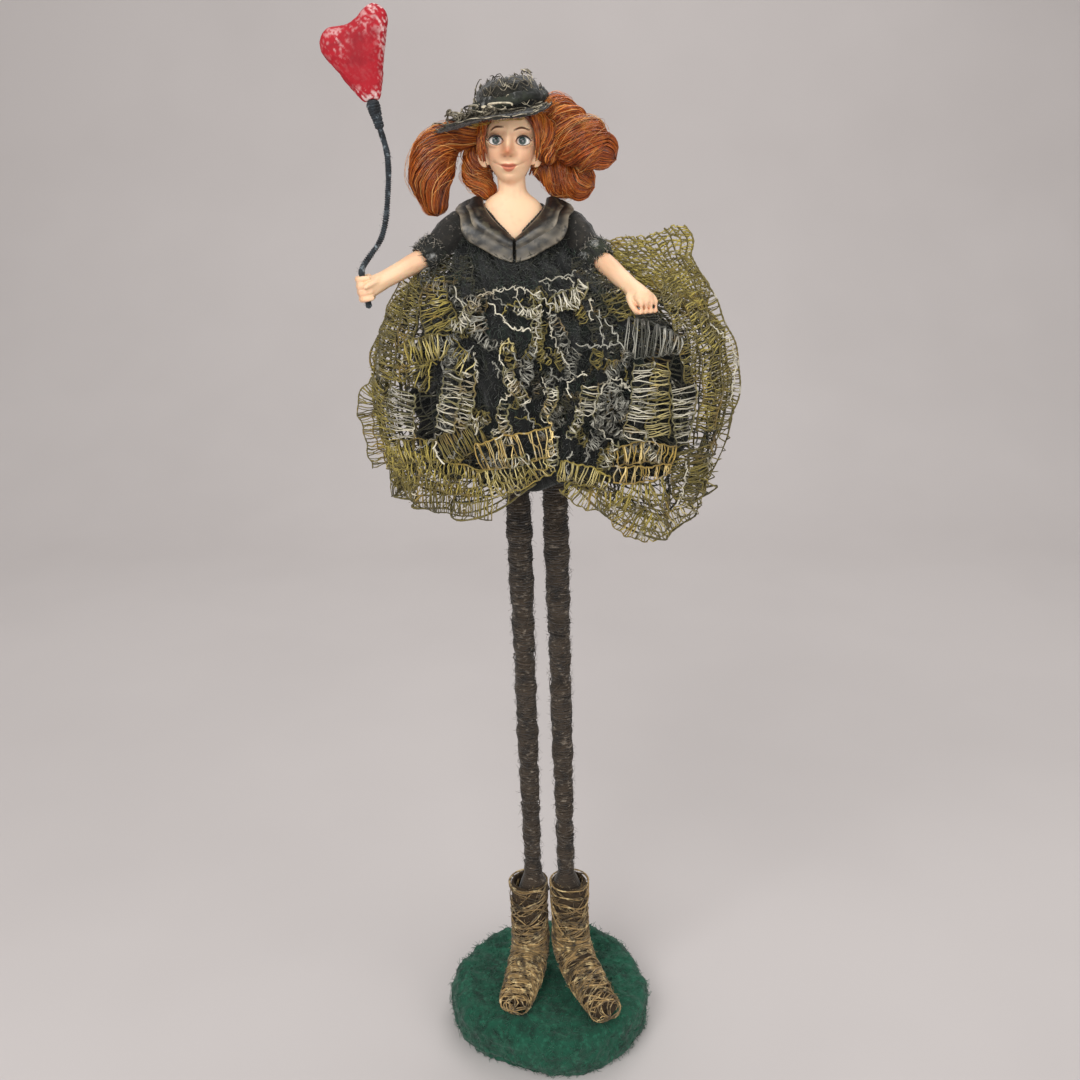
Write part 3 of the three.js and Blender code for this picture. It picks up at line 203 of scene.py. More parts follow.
class Limb(Line):
    """A round body along a line, with its own half-width and half-height at each point.

    END is the share of each round end, and BULGE its length for its radius.
    """

    END = 0.06
    BULGE = 0.8

    def __init__(
        self,
        points: Sequence[Sequence[float]],
        radii: Sequence[float | Pair],
        reference: Triple,
    ) -> None:
        """Sets the line, its sizes and the direction that keeps it from twisting.

        Args:
            points: the places the line goes through.
            radii: half-width and half-height at each point, or one radius.
            reference: the direction that the half-width is square to.
        """
        super().__init__(points)
        self.sizes = np.array([r if isinstance(r, tuple) else (r, r) for r in radii], float)
        self.stations = np.linspace(0, 1, len(radii))
        self.reference = np.array(reference, float)

    def skin(self, t: Array, turn: Array, grow: Array | float = 0.0) -> Array:
        """Places on the skin.

        Args:
            t: shares along the line.
            turn: turns about it, in radians.
            grow: how far outside the skin, in millimetres.

        Returns:
            The places, one row each.
        """
        tangent = self.tangent(t)
        side = unit(np.cross(self.reference, tangent))
        up = np.cross(tangent, side)
        wide = np.interp(t, self.stations, self.sizes[:, 0]) + grow
        high = np.interp(t, self.stations, self.sizes[:, 1]) + grow
        spoke = side * (wide * np.cos(turn))[..., None]
        return self.at(t) + spoke + up * (high * np.sin(turn))[..., None]

    def capped(self, u: Array, turn: Array, grow: Array | float = 0.0) -> Array:
        """Places on the skin with its round ends.

        Args:
            u: shares from the tip of one end to the tip of the other.
            turn: turns about the line, in radians.
            grow: how far outside the skin, in millimetres.

        Returns:
            The places, one row each.
        """
        first, last = self.END, 1 - self.END
        t = np.clip((u - first) / (1 - 2 * first), 0, 1)
        over = np.where(u < first, u / first - 1, np.where(u > last, (u - last) / first, 0.0))
        middle = self.at(t)
        spoke = self.skin(t, turn, grow) - middle
        radius = np.linalg.norm(spoke, axis=1, keepdims=True)
        round_end = np.sqrt(np.clip(1 - over**2, 0, 1))[:, None]
        return middle + spoke * round_end + self.tangent(t) * radius * self.BULGE * over[:, None]


# Finishes


def add_node(tree: bpy.types.NodeTree, kind: str, inputs: dict, **settings: str) -> bpy.types.Node:
    """Adds a node with its settings, and links or sets its inputs.

    Args:
        tree: the material's node tree.
        kind: the node's type, after ShaderNode.
        inputs: a socket or a value for each input, by name or number.
        settings: its attributes.

    Returns:
        The new node.
    """
    node = tree.nodes.new(f"ShaderNode{kind}")
    for name, value in settings.items():
        setattr(node, name, value)
    for name, value in inputs.items():
        if isinstance(value, Socket):
            tree.links.new(value, node.inputs[name])
        else:
            node.inputs[name].default_value = value
    return node


@dataclass(frozen=True)
class Patch:
    """A second colour that shows where a noise runs high.

    Attributes:
        colour: the colour as #rrggbb.
        size: width of one patch, in millimetres.
        start: the noise at which the colour begins.
        full: the noise at which it is full.
        most: how strong it gets.
        stretch: how much closer the patches lie along each axis.
    """

    colour: str
    size: float
    start: float
    full: float
    most: float = 1.0
    stretch: Triple = (1.0, 1.0, 1.0)
    # Detail and roughness of the noise
    DETAIL: ClassVar[float] = 3.0
    FINE: ClassVar[float] = 0.6

    def over(self, tree: bpy.types.NodeTree, place: Socket, colour: Socket | tuple) -> Socket:
        """Lays the patches over a colour.

        Args:
            tree: the material's node tree.
            place: where on the piece.
            colour: the colour under the patches.

        Returns:
            The mixed colour.
        """
        spread = add_node(tree, "Mapping", {"Vector": place, "Scale": self.stretch}).outputs[0]
        scale = 1 / (self.size * MM)
        noise = {"Vector": spread, "Scale": scale, "Detail": self.DETAIL, "Roughness": self.FINE}
        value = add_node(tree, "TexNoise", noise).outputs["Fac"]
        span = {"Value": value, "From Min": self.start, "From Max": self.full, "To Max": self.most}
        mask = add_node(tree, "MapRange", span).outputs[0]
        mix = {0: mask, 6: colour, 7: linear(self.colour)}
        return add_node(tree, "Mix", mix, data_type="RGBA").outputs[2]


@dataclass(frozen=True)
class Finish:
    """A surface with patches of colour, a grain and a gloss.

    Attributes:
        name: what the real surface is.
        colour: its main colour as #rrggbb.
        roughness: of the surface.
        patches: colours laid over the main one, in order.
        grain: width of the grain, in millimetres.
        depth: height of the grain, in millimetres.
        metallic: one for bare metal.
        sheen: the pale bloom of loose fibres.
        coat: a clear gloss over the colour.
        soft: light that spreads under the surface.
        tinted: how far single threads differ in brightness.
    """

    name: str
    colour: str
    roughness: float
    patches: tuple[Patch, ...] = ()
    grain: float = 1.0
    depth: float = 0.0
    metallic: float = 0.0
    sheen: float = 0.0
    coat: float = 0.0
    soft: float = 0.0
    tinted: float = 0.0
    # Roughness of the gloss, reach of the light under the surface in millimetres, and detail of the grain
    COAT_ROUGHNESS: ClassVar[float] = 0.15
    SOFT_DEPTH: ClassVar[float] = 2.0
    GRAIN_DETAIL: ClassVar[float] = 4.0

    def base(self, tree: bpy.types.NodeTree) -> Socket | tuple:
        """The colour under the patches."""
        return linear(self.colour)

    def material(self) -> bpy.types.Material:
        """Makes the material, or finds it where it is made already.

        Returns:
            The material.
        """
        known = bpy.data.materials.get(self.name)
        if known:
            return known
        made = bpy.data.materials.new(self.name)
        made.use_nodes = True
        tree = made.node_tree
        tree.nodes.clear()
        place = add_node(tree, "TexCoord", {}).outputs["Object"]
        colour = self.base(tree)
        for patch in self.patches:
            colour = patch.over(tree, place, colour)
        if self.tinted:
            tint = add_node(tree, "Attribute", {}, attribute_name="tint").outputs["Fac"]
            span = {"Value": tint, "To Min": 1 - self.tinted, "To Max": 1 + self.tinted}
            shade = add_node(tree, "MapRange", span).outputs[0]
            colour = add_node(tree, "HueSaturation", {"Color": colour, "Value": shade}).outputs[0]
        values = {
            "Base Color": colour,
            "Roughness": self.roughness,
            "Metallic": self.metallic,
            "Sheen Weight": self.sheen,
            "Coat Weight": self.coat,
            "Coat Roughness": self.COAT_ROUGHNESS,
            "Subsurface Weight": self.soft,
            "Subsurface Scale": self.SOFT_DEPTH * MM,
        }
        if self.depth:
            noise = {"Vector": place, "Scale": 1 / (self.grain * MM), "Detail": self.GRAIN_DETAIL}
            height = add_node(tree, "TexNoise", noise).outputs["Fac"]
            relief = {"Height": height, "Strength": 1.0, "Distance": self.depth * MM}
            values["Normal"] = add_node(tree, "Bump", relief).outputs[0]
        surface = add_node(tree, "BsdfPrincipled", values).outputs[0]
        add_node(tree, "OutputMaterial", {"Surface": surface})
        return made


@dataclass(frozen=True)
class PaintedFinish(Finish):
    """A surface whose main colour is painted on the piece as an attribute."""

    def base(self, tree: bpy.types.NodeTree) -> Socket | tuple:
        """The painted colour."""
        return add_node(tree, "Attribute", {}, attribute_name="paint").outputs["Color"]


# Needle-felted wool: matt, with paler and darker tufts a few millimetres across
FELT = Finish(
    "needle felted wool", "#155a43", 1.0,
    (Patch("#0b3a2b", 9, 0.45, 0.7), Patch("#2f7d60", 3.5, 0.52, 0.72, 0.8)),
    grain=1.2, depth=0.5, sheen=0.12, tinted=0.3,
)
# Dark wool yarn, wound tight: matt, with grey dust on some turns
LEG_WOOL = Finish(
    "wound dark wool", "#3f3326", 0.95,
    (Patch("#231b13", 9, 0.48, 0.64), Patch("#a39685", 3, 0.57, 0.7, 0.6, (1, 1, 1.8))),
    grain=0.5, depth=0.15, sheen=0.2, tinted=0.4,
)
# Dark brown lining of the boots, seen between the threads
BOOT_LINING = Finish("brown boot lining", "#3b2d1b", 0.95, (Patch("#241a10", 4, 0.45, 0.65),), 0.8, 0.3)
# Gold-brown linen thread, wound loosely, with darker patches of tone and pale patches of painted highlight
BOOT_THREAD = Finish(
    "gold linen thread", "#92774a", 0.75,
    (Patch("#4a3a1e", 6, 0.48, 0.62), Patch("#d8c08c", 4, 0.53, 0.68, 0.85)),
    sheen=0.15, tinted=0.6,
)
# Ladder net knitted from viscose ribbon: each thread in its own dye, with silver dry-brushed on it
SKIRT_NET = PaintedFinish(
    "dyed ladder net", "#857a3a", 0.75,
    (
        Patch("#a5823a", 16, 0.56, 0.66, 0.35), Patch("#38331a", 13, 0.54, 0.66, 0.35),
        Patch("#dcd6c6", 7, 0.62, 0.7, 0.6),
    ),
    sheen=0.1, tinted=0.35,
)
# The same net dyed near black, on the cuffs and the hat
DARK_NET = Finish(
    "black ladder net", "#20221c", 0.75,
    (Patch("#39402c", 9, 0.5, 0.66), Patch("#c9cac6", 6, 0.58, 0.7, 0.9)),
    sheen=0.1, tinted=0.4,
)
# Silver thread that flecks the cuffs
LUREX = Finish("silver lurex", "#b5ada0", 0.45, (Patch("#77705f", 3, 0.5, 0.66),), metallic=0.2, tinted=0.5)
# Crumpled nylon tulle, black with a green cast
TULLE = Finish(
    "black green tulle", "#0e1310", 0.9,
    (Patch("#1d3226", 10, 0.5, 0.68), Patch("#060807", 5, 0.5, 0.62)),
    grain=0.9, depth=0.5, sheen=0.15, tinted=0.5,
)
# Loose ends of the tulle, dark green and brown: painted paler than the tulle itself, a painted highlight
# where they catch the light
FLUFF = Finish(
    "frayed tulle", "#22271b", 0.85,
    (Patch("#1b3a28", 12, 0.5, 0.66), Patch("#4a4430", 9, 0.56, 0.7, 0.8), Patch("#0b0d0a", 6, 0.5, 0.62)),
    sheen=0.2, tinted=0.5,
)
# Matt black cotton jersey of the bodice and sleeves
JERSEY = Finish(
    "black jersey", "#1d1b17", 0.9,
    (Patch("#332e26", 6, 0.5, 0.7), Patch("#8d857a", 1.6, 0.6, 0.72, 0.6)),
    grain=0.6, depth=0.2, sheen=0.2,
)
# Leather-look satin of the collar: dark, half gloss, silver rubbed on its edges, and a band along the roll of
# each leaf that is partly rubbed silver and partly painted highlight
SATIN = PaintedFinish(
    "rubbed dark satin", "#1b1b1a", 0.4,
    (Patch("#0b0c0b", 7, 0.5, 0.62, 0.85), Patch("#5a5340", 5, 0.56, 0.68, 0.6)),
    grain=1.5, depth=0.12, coat=0.15,
)
# Sanded polymer clay: soft, warm and nearly matt, blushed with chalk, with shade painted about the eyes, nose
# and mouth and where the forearms go under the cuffs
CLAY = PaintedFinish(
    "blushed polymer clay", "#f8cfa8", 0.5,
    (Patch("#e6b48c", 5, 0.55, 0.75, 0.35),),
    grain=1.0, depth=0.03, soft=0.15,
)
# Glazed eyes, painted white, teal grey and black
EYE = PaintedFinish("glazed painted eye", "#f2efe8", 0.12, coat=0.6)
# Brush lines of the lashes and brows
LASH = Finish("lash paint", "#231a17", 0.5, (Patch("#3a2a22", 3, 0.5, 0.7),))
BROW = Finish("brow paint", "#6b452f", 0.6, (Patch("#4d3020", 2, 0.5, 0.7),))
# Curled mohair: copper strands with a silky gloss, a darker patch of tone, and two pale patches of painted
# highlight
HAIR = PaintedFinish(
    "copper mohair", "#8f3f12", 0.32,
    (
        Patch("#642405", 13, 0.52, 0.7, 0.6), Patch("#e0913f", 7, 0.56, 0.7, 0.5),
        Patch("#efb066", 2.2, 0.6, 0.72, 0.5),
    ),
    sheen=0.05, tinted=0.35,
)
# Shades of single strands from dark to light, and how common each is: the strands differ in tone, and the
# palest shades also stand for painted highlights
SHADES = ("#732c07", "#9a440e", "#b25613", "#c66a1d", "#dd8b3c", "#ecb36a")
SHADE_SHARES = (0.2, 0.25, 0.25, 0.16, 0.1, 0.04)
# Felt of the hat: dark moss green, with patches of painted shade, and pale patches that are partly
# dry-brushed nap and partly painted highlight
HAT_FELT = Finish(
    "dark moss felt", "#2c2a20", 0.95,
    (Patch("#151410", 8, 0.45, 0.62), Patch("#7a705c", 4, 0.6, 0.76, 0.6)),
    grain=0.7, depth=0.3, sheen=0.3, tinted=0.3,
)
# Loose dry-brushed threads on the hat
HAT_THREAD = Finish(
    "dry brushed thread", "#5a5344", 0.8,
    (Patch("#bdb39b", 5, 0.46, 0.6), Patch("#221f19", 7, 0.54, 0.66)),
    tinted=0.4,
)
# Gold tinsel under the hat's front
TINSEL = Finish("gold tinsel", "#c9a544", 0.35, (Patch("#f1de96", 2, 0.5, 0.66),), metallic=0.6, tinted=0.3)
# Painted heart: crimson, streaked with a dry white brush
HEART_RED = PaintedFinish(
    "dry brushed crimson", "#b00b20", 0.8,
    (Patch("#85061a", 8, 0.5, 0.68, 0.7),),
    grain=0.8, depth=0.15,
)
# Slate-blue cotton thread on the stem
STEM_COTTON = Finish(
    "slate cotton thread", "#2a3238", 0.85,
    (Patch("#12161a", 5, 0.46, 0.6), Patch("#97a2a8", 3, 0.56, 0.68, 0.75)),
    sheen=0.1, tinted=0.35,
)
# Turned pine of the base's core and drawn steel of the wires, all nearly hidden, and the wires' names
PINE = Finish("turned pine", "#b08a55", 0.7, (Patch("#8f6a3a", 4, 0.45, 0.65, 0.7, (1, 6, 6)),), 1.0, 0.1)
STEEL = Finish("drawn steel", "#8b8e92", 0.35, (Patch("#6d7074", 3, 0.5, 0.7),), metallic=1.0)
WIRES = ("right_leg", "left_leg", "spine", "shoulder", "right_arm", "left_arm", "stem")


class Dye(Enum):
    """Dyes of the net.

    Each holds the colours of cords and rungs, the spacing of rungs, and how far they stand off the front.
    """

    MOSS = ("#5f5526", "#8a7c3c", 0.85, 0.5)
    OLIVE = ("#6f6229", "#a8984a", 1.0, 1.5)
    STRAW = ("#857633", "#c8b97c", 1.2, 3.0)
    GOLD = ("#a0853f", "#dcc383", 1.5, 5.0)
    SILVER = ("#77714d", "#cfc9b5", 1.15, 4.0)
    PEWTER = ("#45453c", "#9a988c", 0.9, 2.5)
    # Dark olive net that stands behind the others: partly painted shade of the depths of the skirt
    DARK = ("#2f2e20", "#46442e", 0.9, -3.0)

    @property
    def cord(self) -> str:
        """Colour of its cords as #rrggbb."""
        return self.value[0]

    @property
    def rung(self) -> str:
        """Colour of its rungs as #rrggbb."""
        return self.value[1]

    @property
    def pitch(self) -> float:
        """From one rung to the next, in millimetres."""
        return self.value[2]

    @property
    def stand(self) -> float:
        """How far its threads stand off the skirt's front, in millimetres."""
        return self.value[3]


# Meshes

# Vertices nearer than this are one, in metres
WELD = 1e-6


def only(piece: Piece) -> Piece:
    """Selects one piece alone and makes it active."""
    bpy.ops.object.select_all(action="DESELECT")
    piece.select_set(True)
    bpy.context.view_layer.objects.active = piece
    return piece


def points_of(piece: Piece) -> Array:
    """The places of a piece's vertices, in millimetres."""
    flat = np.empty(len(piece.data.vertices) * 3)
    piece.data.vertices.foreach_get("co", flat)
    return flat.reshape(-1, 3) / MM


def move_to(piece: Piece, points: Array) -> None:
    """Puts a piece's vertices at places in millimetres."""
    piece.data.vertices.foreach_set("co", (points * MM).ravel())
    piece.data.update()


def apply_modifier(piece: Piece, kind: str, settings: dict) -> None:
    """Adds a modifier to a piece and applies it.

    Args:
        piece: the piece.
        kind: the modifier's type.
        settings: its attributes.
    """
    only(piece)
    modifier = piece.modifiers.new(kind.lower(), kind)
    for name, value in settings.items():
        setattr(modifier, name, value)
    bpy.ops.object.modifier_apply(modifier=modifier.name)


def merge_doubles(piece: Piece, outward: bool) -> None:
    """Joins vertices that lie at one place.

    Args:
        piece: the piece.
        outward: whether its faces are then turned outwards.
    """
    only(piece)
    bpy.ops.object.mode_set(mode="EDIT")
    bpy.ops.mesh.select_all(action="SELECT")
    bpy.ops.mesh.remove_doubles(threshold=WELD)
    if outward:
        bpy.ops.mesh.normals_make_consistent(inside=False)
    bpy.ops.object.mode_set(mode="OBJECT")


def smooth(piece: Piece) -> Piece:
    """Shades a piece smooth."""
    only(piece)
    bpy.ops.object.shade_smooth()
    return piece


def shaped_grid(
    name: str, columns: int, rows: int, place: Place, closed: bool = False
) -> Piece:
    """A grid laid over a surface.

    Args:
        name: the piece's name.
        columns: faces along u.
        rows: faces along v.
        place: places in millimetres for u and v from 0 to 1.
        closed: whether edges that meet are joined, and the faces turned outwards.

    Returns:
        The piece.
    """
    bpy.ops.object.select_all(action="DESELECT")
    bpy.ops.mesh.primitive_grid_add(x_subdivisions=columns, y_subdivisions=rows, size=1.0)
    piece = bpy.context.active_object
    piece.name = name
    piece.data.name = name
    flat = points_of(piece) * MM
    move_to(piece, place(flat[:, 0] + 0.5, flat[:, 1] + 0.5))
    if closed:
        merge_doubles(piece, True)
    return smooth(piece)


def limb_piece(name: str, limb: Limb, columns: int, rows: int, grow: Array | float = 0.0) -> Piece:
    """A closed body along a limb, with round ends.

    Args:
        name: the piece's name.
        limb: its line and sizes.
        columns: faces along it.
        rows: faces around it.
        grow: how far outside the limb's skin.

    Returns:
        The piece.
    """
    return shaped_grid(name, columns, rows, lambda u, v: limb.capped(u, TAU * v, grow), True)


def copy_of(name: str, node: str) -> Piece:
    """A copy of a solid of the frame, its vertices joined.

    Args:
        name: the piece's name.
        node: the solid's node.

    Returns:
        The piece.
    """
    piece = bpy.data.objects.new(name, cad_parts[node].data.copy())
    bpy.context.scene.collection.objects.link(piece)
    merge_doubles(piece, False)
    return piece


def soften(piece: Piece, voxel: float, passes: int) -> None:
    """Makes a piece one even skin and smooths it.

    Args:
        piece: the piece.
        voxel: width of the new faces, in millimetres.
        passes: how often it is smoothed.
    """
    apply_modifier(piece, "REMESH", {"mode": "VOXEL", "voxel_size": voxel * MM})
    apply_modifier(piece, "SMOOTH", {"factor": 0.5, "iterations": passes})


def sculpted(name: str, node: str, voxel: float, passes: int, rounded: int = 0) -> Piece:
    """A fine, softened copy of a solid of the frame.

    Args:
        name: the piece's name.
        node: the solid's node.
        voxel: width of the new faces, in millimetres.
        passes: how often it is smoothed.
        rounded: how often its flat faces are rounded first.

    Returns:
        The piece.
    """
    piece = copy_of(name, node)
    if rounded:
        apply_modifier(piece, "SUBSURF", {"levels": rounded})
    soften(piece, voxel, passes)
    return smooth(piece)


def thicken(piece: Piece, thickness: float) -> None:
    """Gives a sheet its thickness, in millimetres."""
    apply_modifier(piece, "SOLIDIFY", {"thickness": thickness * MM, "offset": 0.0})


def keep_above(piece: Piece, height: float) -> None:
    """Lifts the vertices that lie below a height, in millimetres."""
    points = points_of(piece)
    points[:, 2] = np.maximum(points[:, 2], height)
    move_to(piece, points)


def lumps(piece: Piece, size: float, height: float) -> None:
    """Raises soft lumps on a piece.

    Args:
        piece: the piece.
        size: width of a lump, in millimetres.
        height: from hollow to crest, in millimetres.
    """
    texture = bpy.data.textures.new(f"{piece.name}_lumps", "CLOUDS")
    texture.noise_scale = size * MM
    texture.noise_depth = 2
    settings = {"texture": texture, "strength": height * MM, "mid_level": 0.5, "texture_coords": "LOCAL"}
    apply_modifier(piece, "DISPLACE", settings)


def plain(code: str, count: int) -> Array:
    """One colour for many vertices.

    Args:
        code: the colour as #rrggbb.
        count: how many vertices.

    Returns:
        The linear colour, one row for each vertex.
    """
    return np.tile(linear(code)[:3], (count, 1))


def paint(piece: Piece, colours: Array) -> None:
    """Keeps a colour for each vertex of a piece.

    Args:
        piece: the piece.
        colours: linear red, green and blue, one row for each vertex.
    """
    layer = piece.data.attributes.new("paint", "FLOAT_COLOR", "POINT")
    layer.data.foreach_set("color", np.column_stack([colours, np.ones(len(colours))]).ravel())


def brushed(base: Array, code: str, strength: Array) -> Array:
    """Colours brushed over with one more colour.

    Args:
        base: linear colours, one row each.
        code: the new colour as #rrggbb.
        strength: how strong it is at each row.

    Returns:
        The mixed colours.
    """
    return base + (np.array(linear(code)[:3]) - base) * np.clip(strength, 0, 1)[:, None]


class Threads:
    """Thin threads that are gathered into one mesh."""

    # Paint of threads whose finish has its own colour
    UNDYED = "#808080"

    def __init__(self, seed: int) -> None:
        """Starts with no threads.

        Args:
            seed: of the threads' small irregularities.
        """
        self.rng = np.random.default_rng(seed)
        self.points: list[Array] = []
        self.loops: list[Array] = []
        self.sizes: list[Array] = []
        self.tints: list[Array] = []
        self.dyes: list[Array] = []
        self.colour = self.UNDYED
        self.count = 0

    def add(self, runs: Array, radius: Array | float, sides: int = 4) -> None:
        """Adds threads of equal point counts.

        Args:
            runs: threads by points by coordinates, in millimetres.
            radius: one for all, or one for each point.
            sides: of each thread's section.
        """
        many, long = runs.shape[:2]
        tangent = unit(np.gradient(runs, axis=1))
        facing = np.abs(tangent).mean(axis=1).argmin(axis=1)
        reference = np.eye(3)[facing][:, None, :]
        side = unit(np.cross(tangent, reference))
        up = np.cross(side, tangent)
        turn = TAU * np.arange(sides) / sides
        thick = np.broadcast_to(np.asarray(radius, float), (many, long))[..., None, None]
        ring = np.cos(turn)[:, None] * side[:, :, None] + np.sin(turn)[:, None] * up[:, :, None]
        self.points.append((runs[:, :, None, :] + thick * ring).reshape(-1, 3))
        self.tints.append(np.repeat(self.rng.random(many), long * sides))
        self.dyes.append(np.tile(linear(self.colour), (many * long * sides, 1)))
        first = (np.arange(many) * long * sides)[:, None, None]
        ring_start = first + (np.arange(long - 1) * sides)[None, :, None]
        a, b = ring_start + np.arange(sides), ring_start + (np.arange(sides) + 1) % sides
        walls = np.stack([a, b, b + sides, a + sides], -1).reshape(-1)
        start = (first[:, 0] + np.arange(sides)[::-1]).reshape(-1)
        end = (first[:, 0] + (long - 1) * sides + np.arange(sides)).reshape(-1)
        self.loops += [walls + self.count, start + self.count, end + self.count]
        self.sizes += [np.full(len(walls) // 4, 4), np.full(2 * many, sides)]
        self.count += many * long * sides

    def piece(self, name: str) -> Piece:
        """Makes the gathered threads one piece.

        Args:
            name: the piece's name.

        Returns:
            The piece.
        """
        mesh = bpy.data.meshes.new(name)
        points = np.concatenate(self.points) * MM
        loops, sizes = np.concatenate(self.loops), np.concatenate(self.sizes)
        mesh.vertices.add(len(points))
        mesh.vertices.foreach_set("co", points.ravel())
        mesh.loops.add(len(loops))
        mesh.polygons.add(len(sizes))
        mesh.polygons.foreach_set("loop_start", np.concatenate([[0], np.cumsum(sizes)[:-1]]))
        mesh.polygons.foreach_set("vertices", loops)
        mesh.update(calc_edges=True)
        tint = mesh.attributes.new("tint", "FLOAT", "POINT")
        tint.data.foreach_set("value", np.concatenate(self.tints))
        dye = mesh.attributes.new("paint", "FLOAT_COLOR", "POINT")
        dye.data.foreach_set("color", np.concatenate(self.dyes).ravel())
        piece = bpy.data.objects.new(name, mesh)
        bpy.context.scene.collection.objects.link(piece)
        return smooth(piece)


def on_surface(piece: Piece, count: int, rng: np.random.Generator) -> tuple[Array, Array]:
    """Places spread evenly over a piece.

    Args:
        piece: the piece.
        count: how many places.
        rng: the source of chance.

    Returns:
        The places in millimetres, and the outward direction at each.
    """
    mesh = piece.data
    mesh.calc_loop_triangles()
    corners = np.empty(len(mesh.loop_triangles) * 3, int)
    mesh.loop_triangles.foreach_get("vertices", corners)
    a, b, c = points_of(piece)[corners.reshape(-1, 3)].transpose(1, 0, 2)
    normal = np.cross(b - a, c - a)
    area = np.linalg.norm(normal, axis=1)
    pick = rng.choice(len(area), count, p=area / area.sum())
    s, t = rng.random((2, count, 1))
    s, t = np.where(s + t > 1, 1 - s, s), np.where(s + t > 1, 1 - t, t)
    return a[pick] + s * (b - a)[pick] + t * (c - a)[pick], unit(normal[pick])


@dataclass(frozen=True)
class Nap:
    """Short loose fibres all over a piece.

    Attributes:
        count: how many fibres.
        length: of a fibre, in millimetres.
        radius: of a fibre, in millimetres.
        lie: how far the fibres lie over.
    """

    count: int
    length: float
    radius: float
    lie: float
    # Depth of the roots, range of the lengths, and radii from root to tip
    ROOT: ClassVar[float] = 0.2
    SPREAD: ClassVar[Pair] = (0.5, 1.2)
    TAPER: ClassVar[Triple] = (1.0, 0.8, 0.4)

    def grow(self, threads: Threads, piece: Piece) -> None:
        """Adds the fibres.

        Args:
            threads: what the fibres are gathered in.
            piece: the piece that they stand on.
        """
        rng = threads.rng
        root, out = on_surface(piece, self.count, rng)
        over = unit(np.cross(out, rng.normal(size=out.shape)))
        curl = unit(np.cross(out, over))
        long = self.length * rng.uniform(*self.SPREAD, (self.count, 1))
        run = [root - self.ROOT * out]
        run.append(root + long * (0.35 * out + 0.35 * self.lie * over))
        run.append(root + long * (0.5 * out + 0.8 * self.lie * over + 0.3 * curl))
        threads.add(np.stack(run, 1), self.radius * np.array(self.TAPER), sides=3)

    def piece(self, name: str, seed: int, on: Piece) -> Piece:
        """Makes the fibres a piece of their own.

        Args:
            name: the piece's name.
            seed: of the fibres.
            on: the piece that they stand on.

        Returns:
            The piece.
        """
        threads = Threads(seed)
        self.grow(threads, on)
        return threads.piece(name)


def dress(piece: Piece, slot: str, finish: Finish, *nodes: str, body: Body = Body.DOLL) -> Piece:
    """Gives a piece its finish and its body, and hides the nodes of the frame that it stands for.

    Args:
        piece: the piece.
        slot: the material slot of the record; not used.
        finish: its finish.
        nodes: the nodes of the frame that it replaces.
        body: the body that it rides on.

    Returns:
        The piece.
    """
    piece.data.materials.clear()
    piece.data.materials.append(finish.material())
    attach(piece, body.value)
    if nodes:
        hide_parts(*nodes)
    LOG.info("%s: %d faces on %s", piece.name, len(piece.data.polygons), body.value)
    return piece


# Base, legs and boots

# Shares of a limb that a winding covers
WOUND = (0.002, 0.998)


@dataclass
class FeltBase:
    """The needle-felted base.

    Attributes:
        nap: loose fibres over it.
        tufts: width and height of its lumps, from large to small.
        floor: the lowest place of a loose fibre.
    """

    nap: Nap = Nap(count=5200, length=2.8, radius=0.17, lie=1.5)
    tufts: tuple[Pair, ...] = ((26, 5.0), (12, 3.0), (3.6, 2.4))
    floor: float = 0.02

    def build(self) -> None:
        """Models the felt and its loose fibres."""
        felt = sculpted("felt_base", "base_felt", voxel=1.4, passes=6)
        for size, height in self.tufts:
            lumps(felt, size, height)
        keep_above(felt, 0.0)
        dress(felt, "felt", FELT, "base_felt")
        fibres = self.nap.piece("felt_fibres", 11, felt)
        keep_above(fibres, self.floor)
        dress(fibres, "felt", FELT)


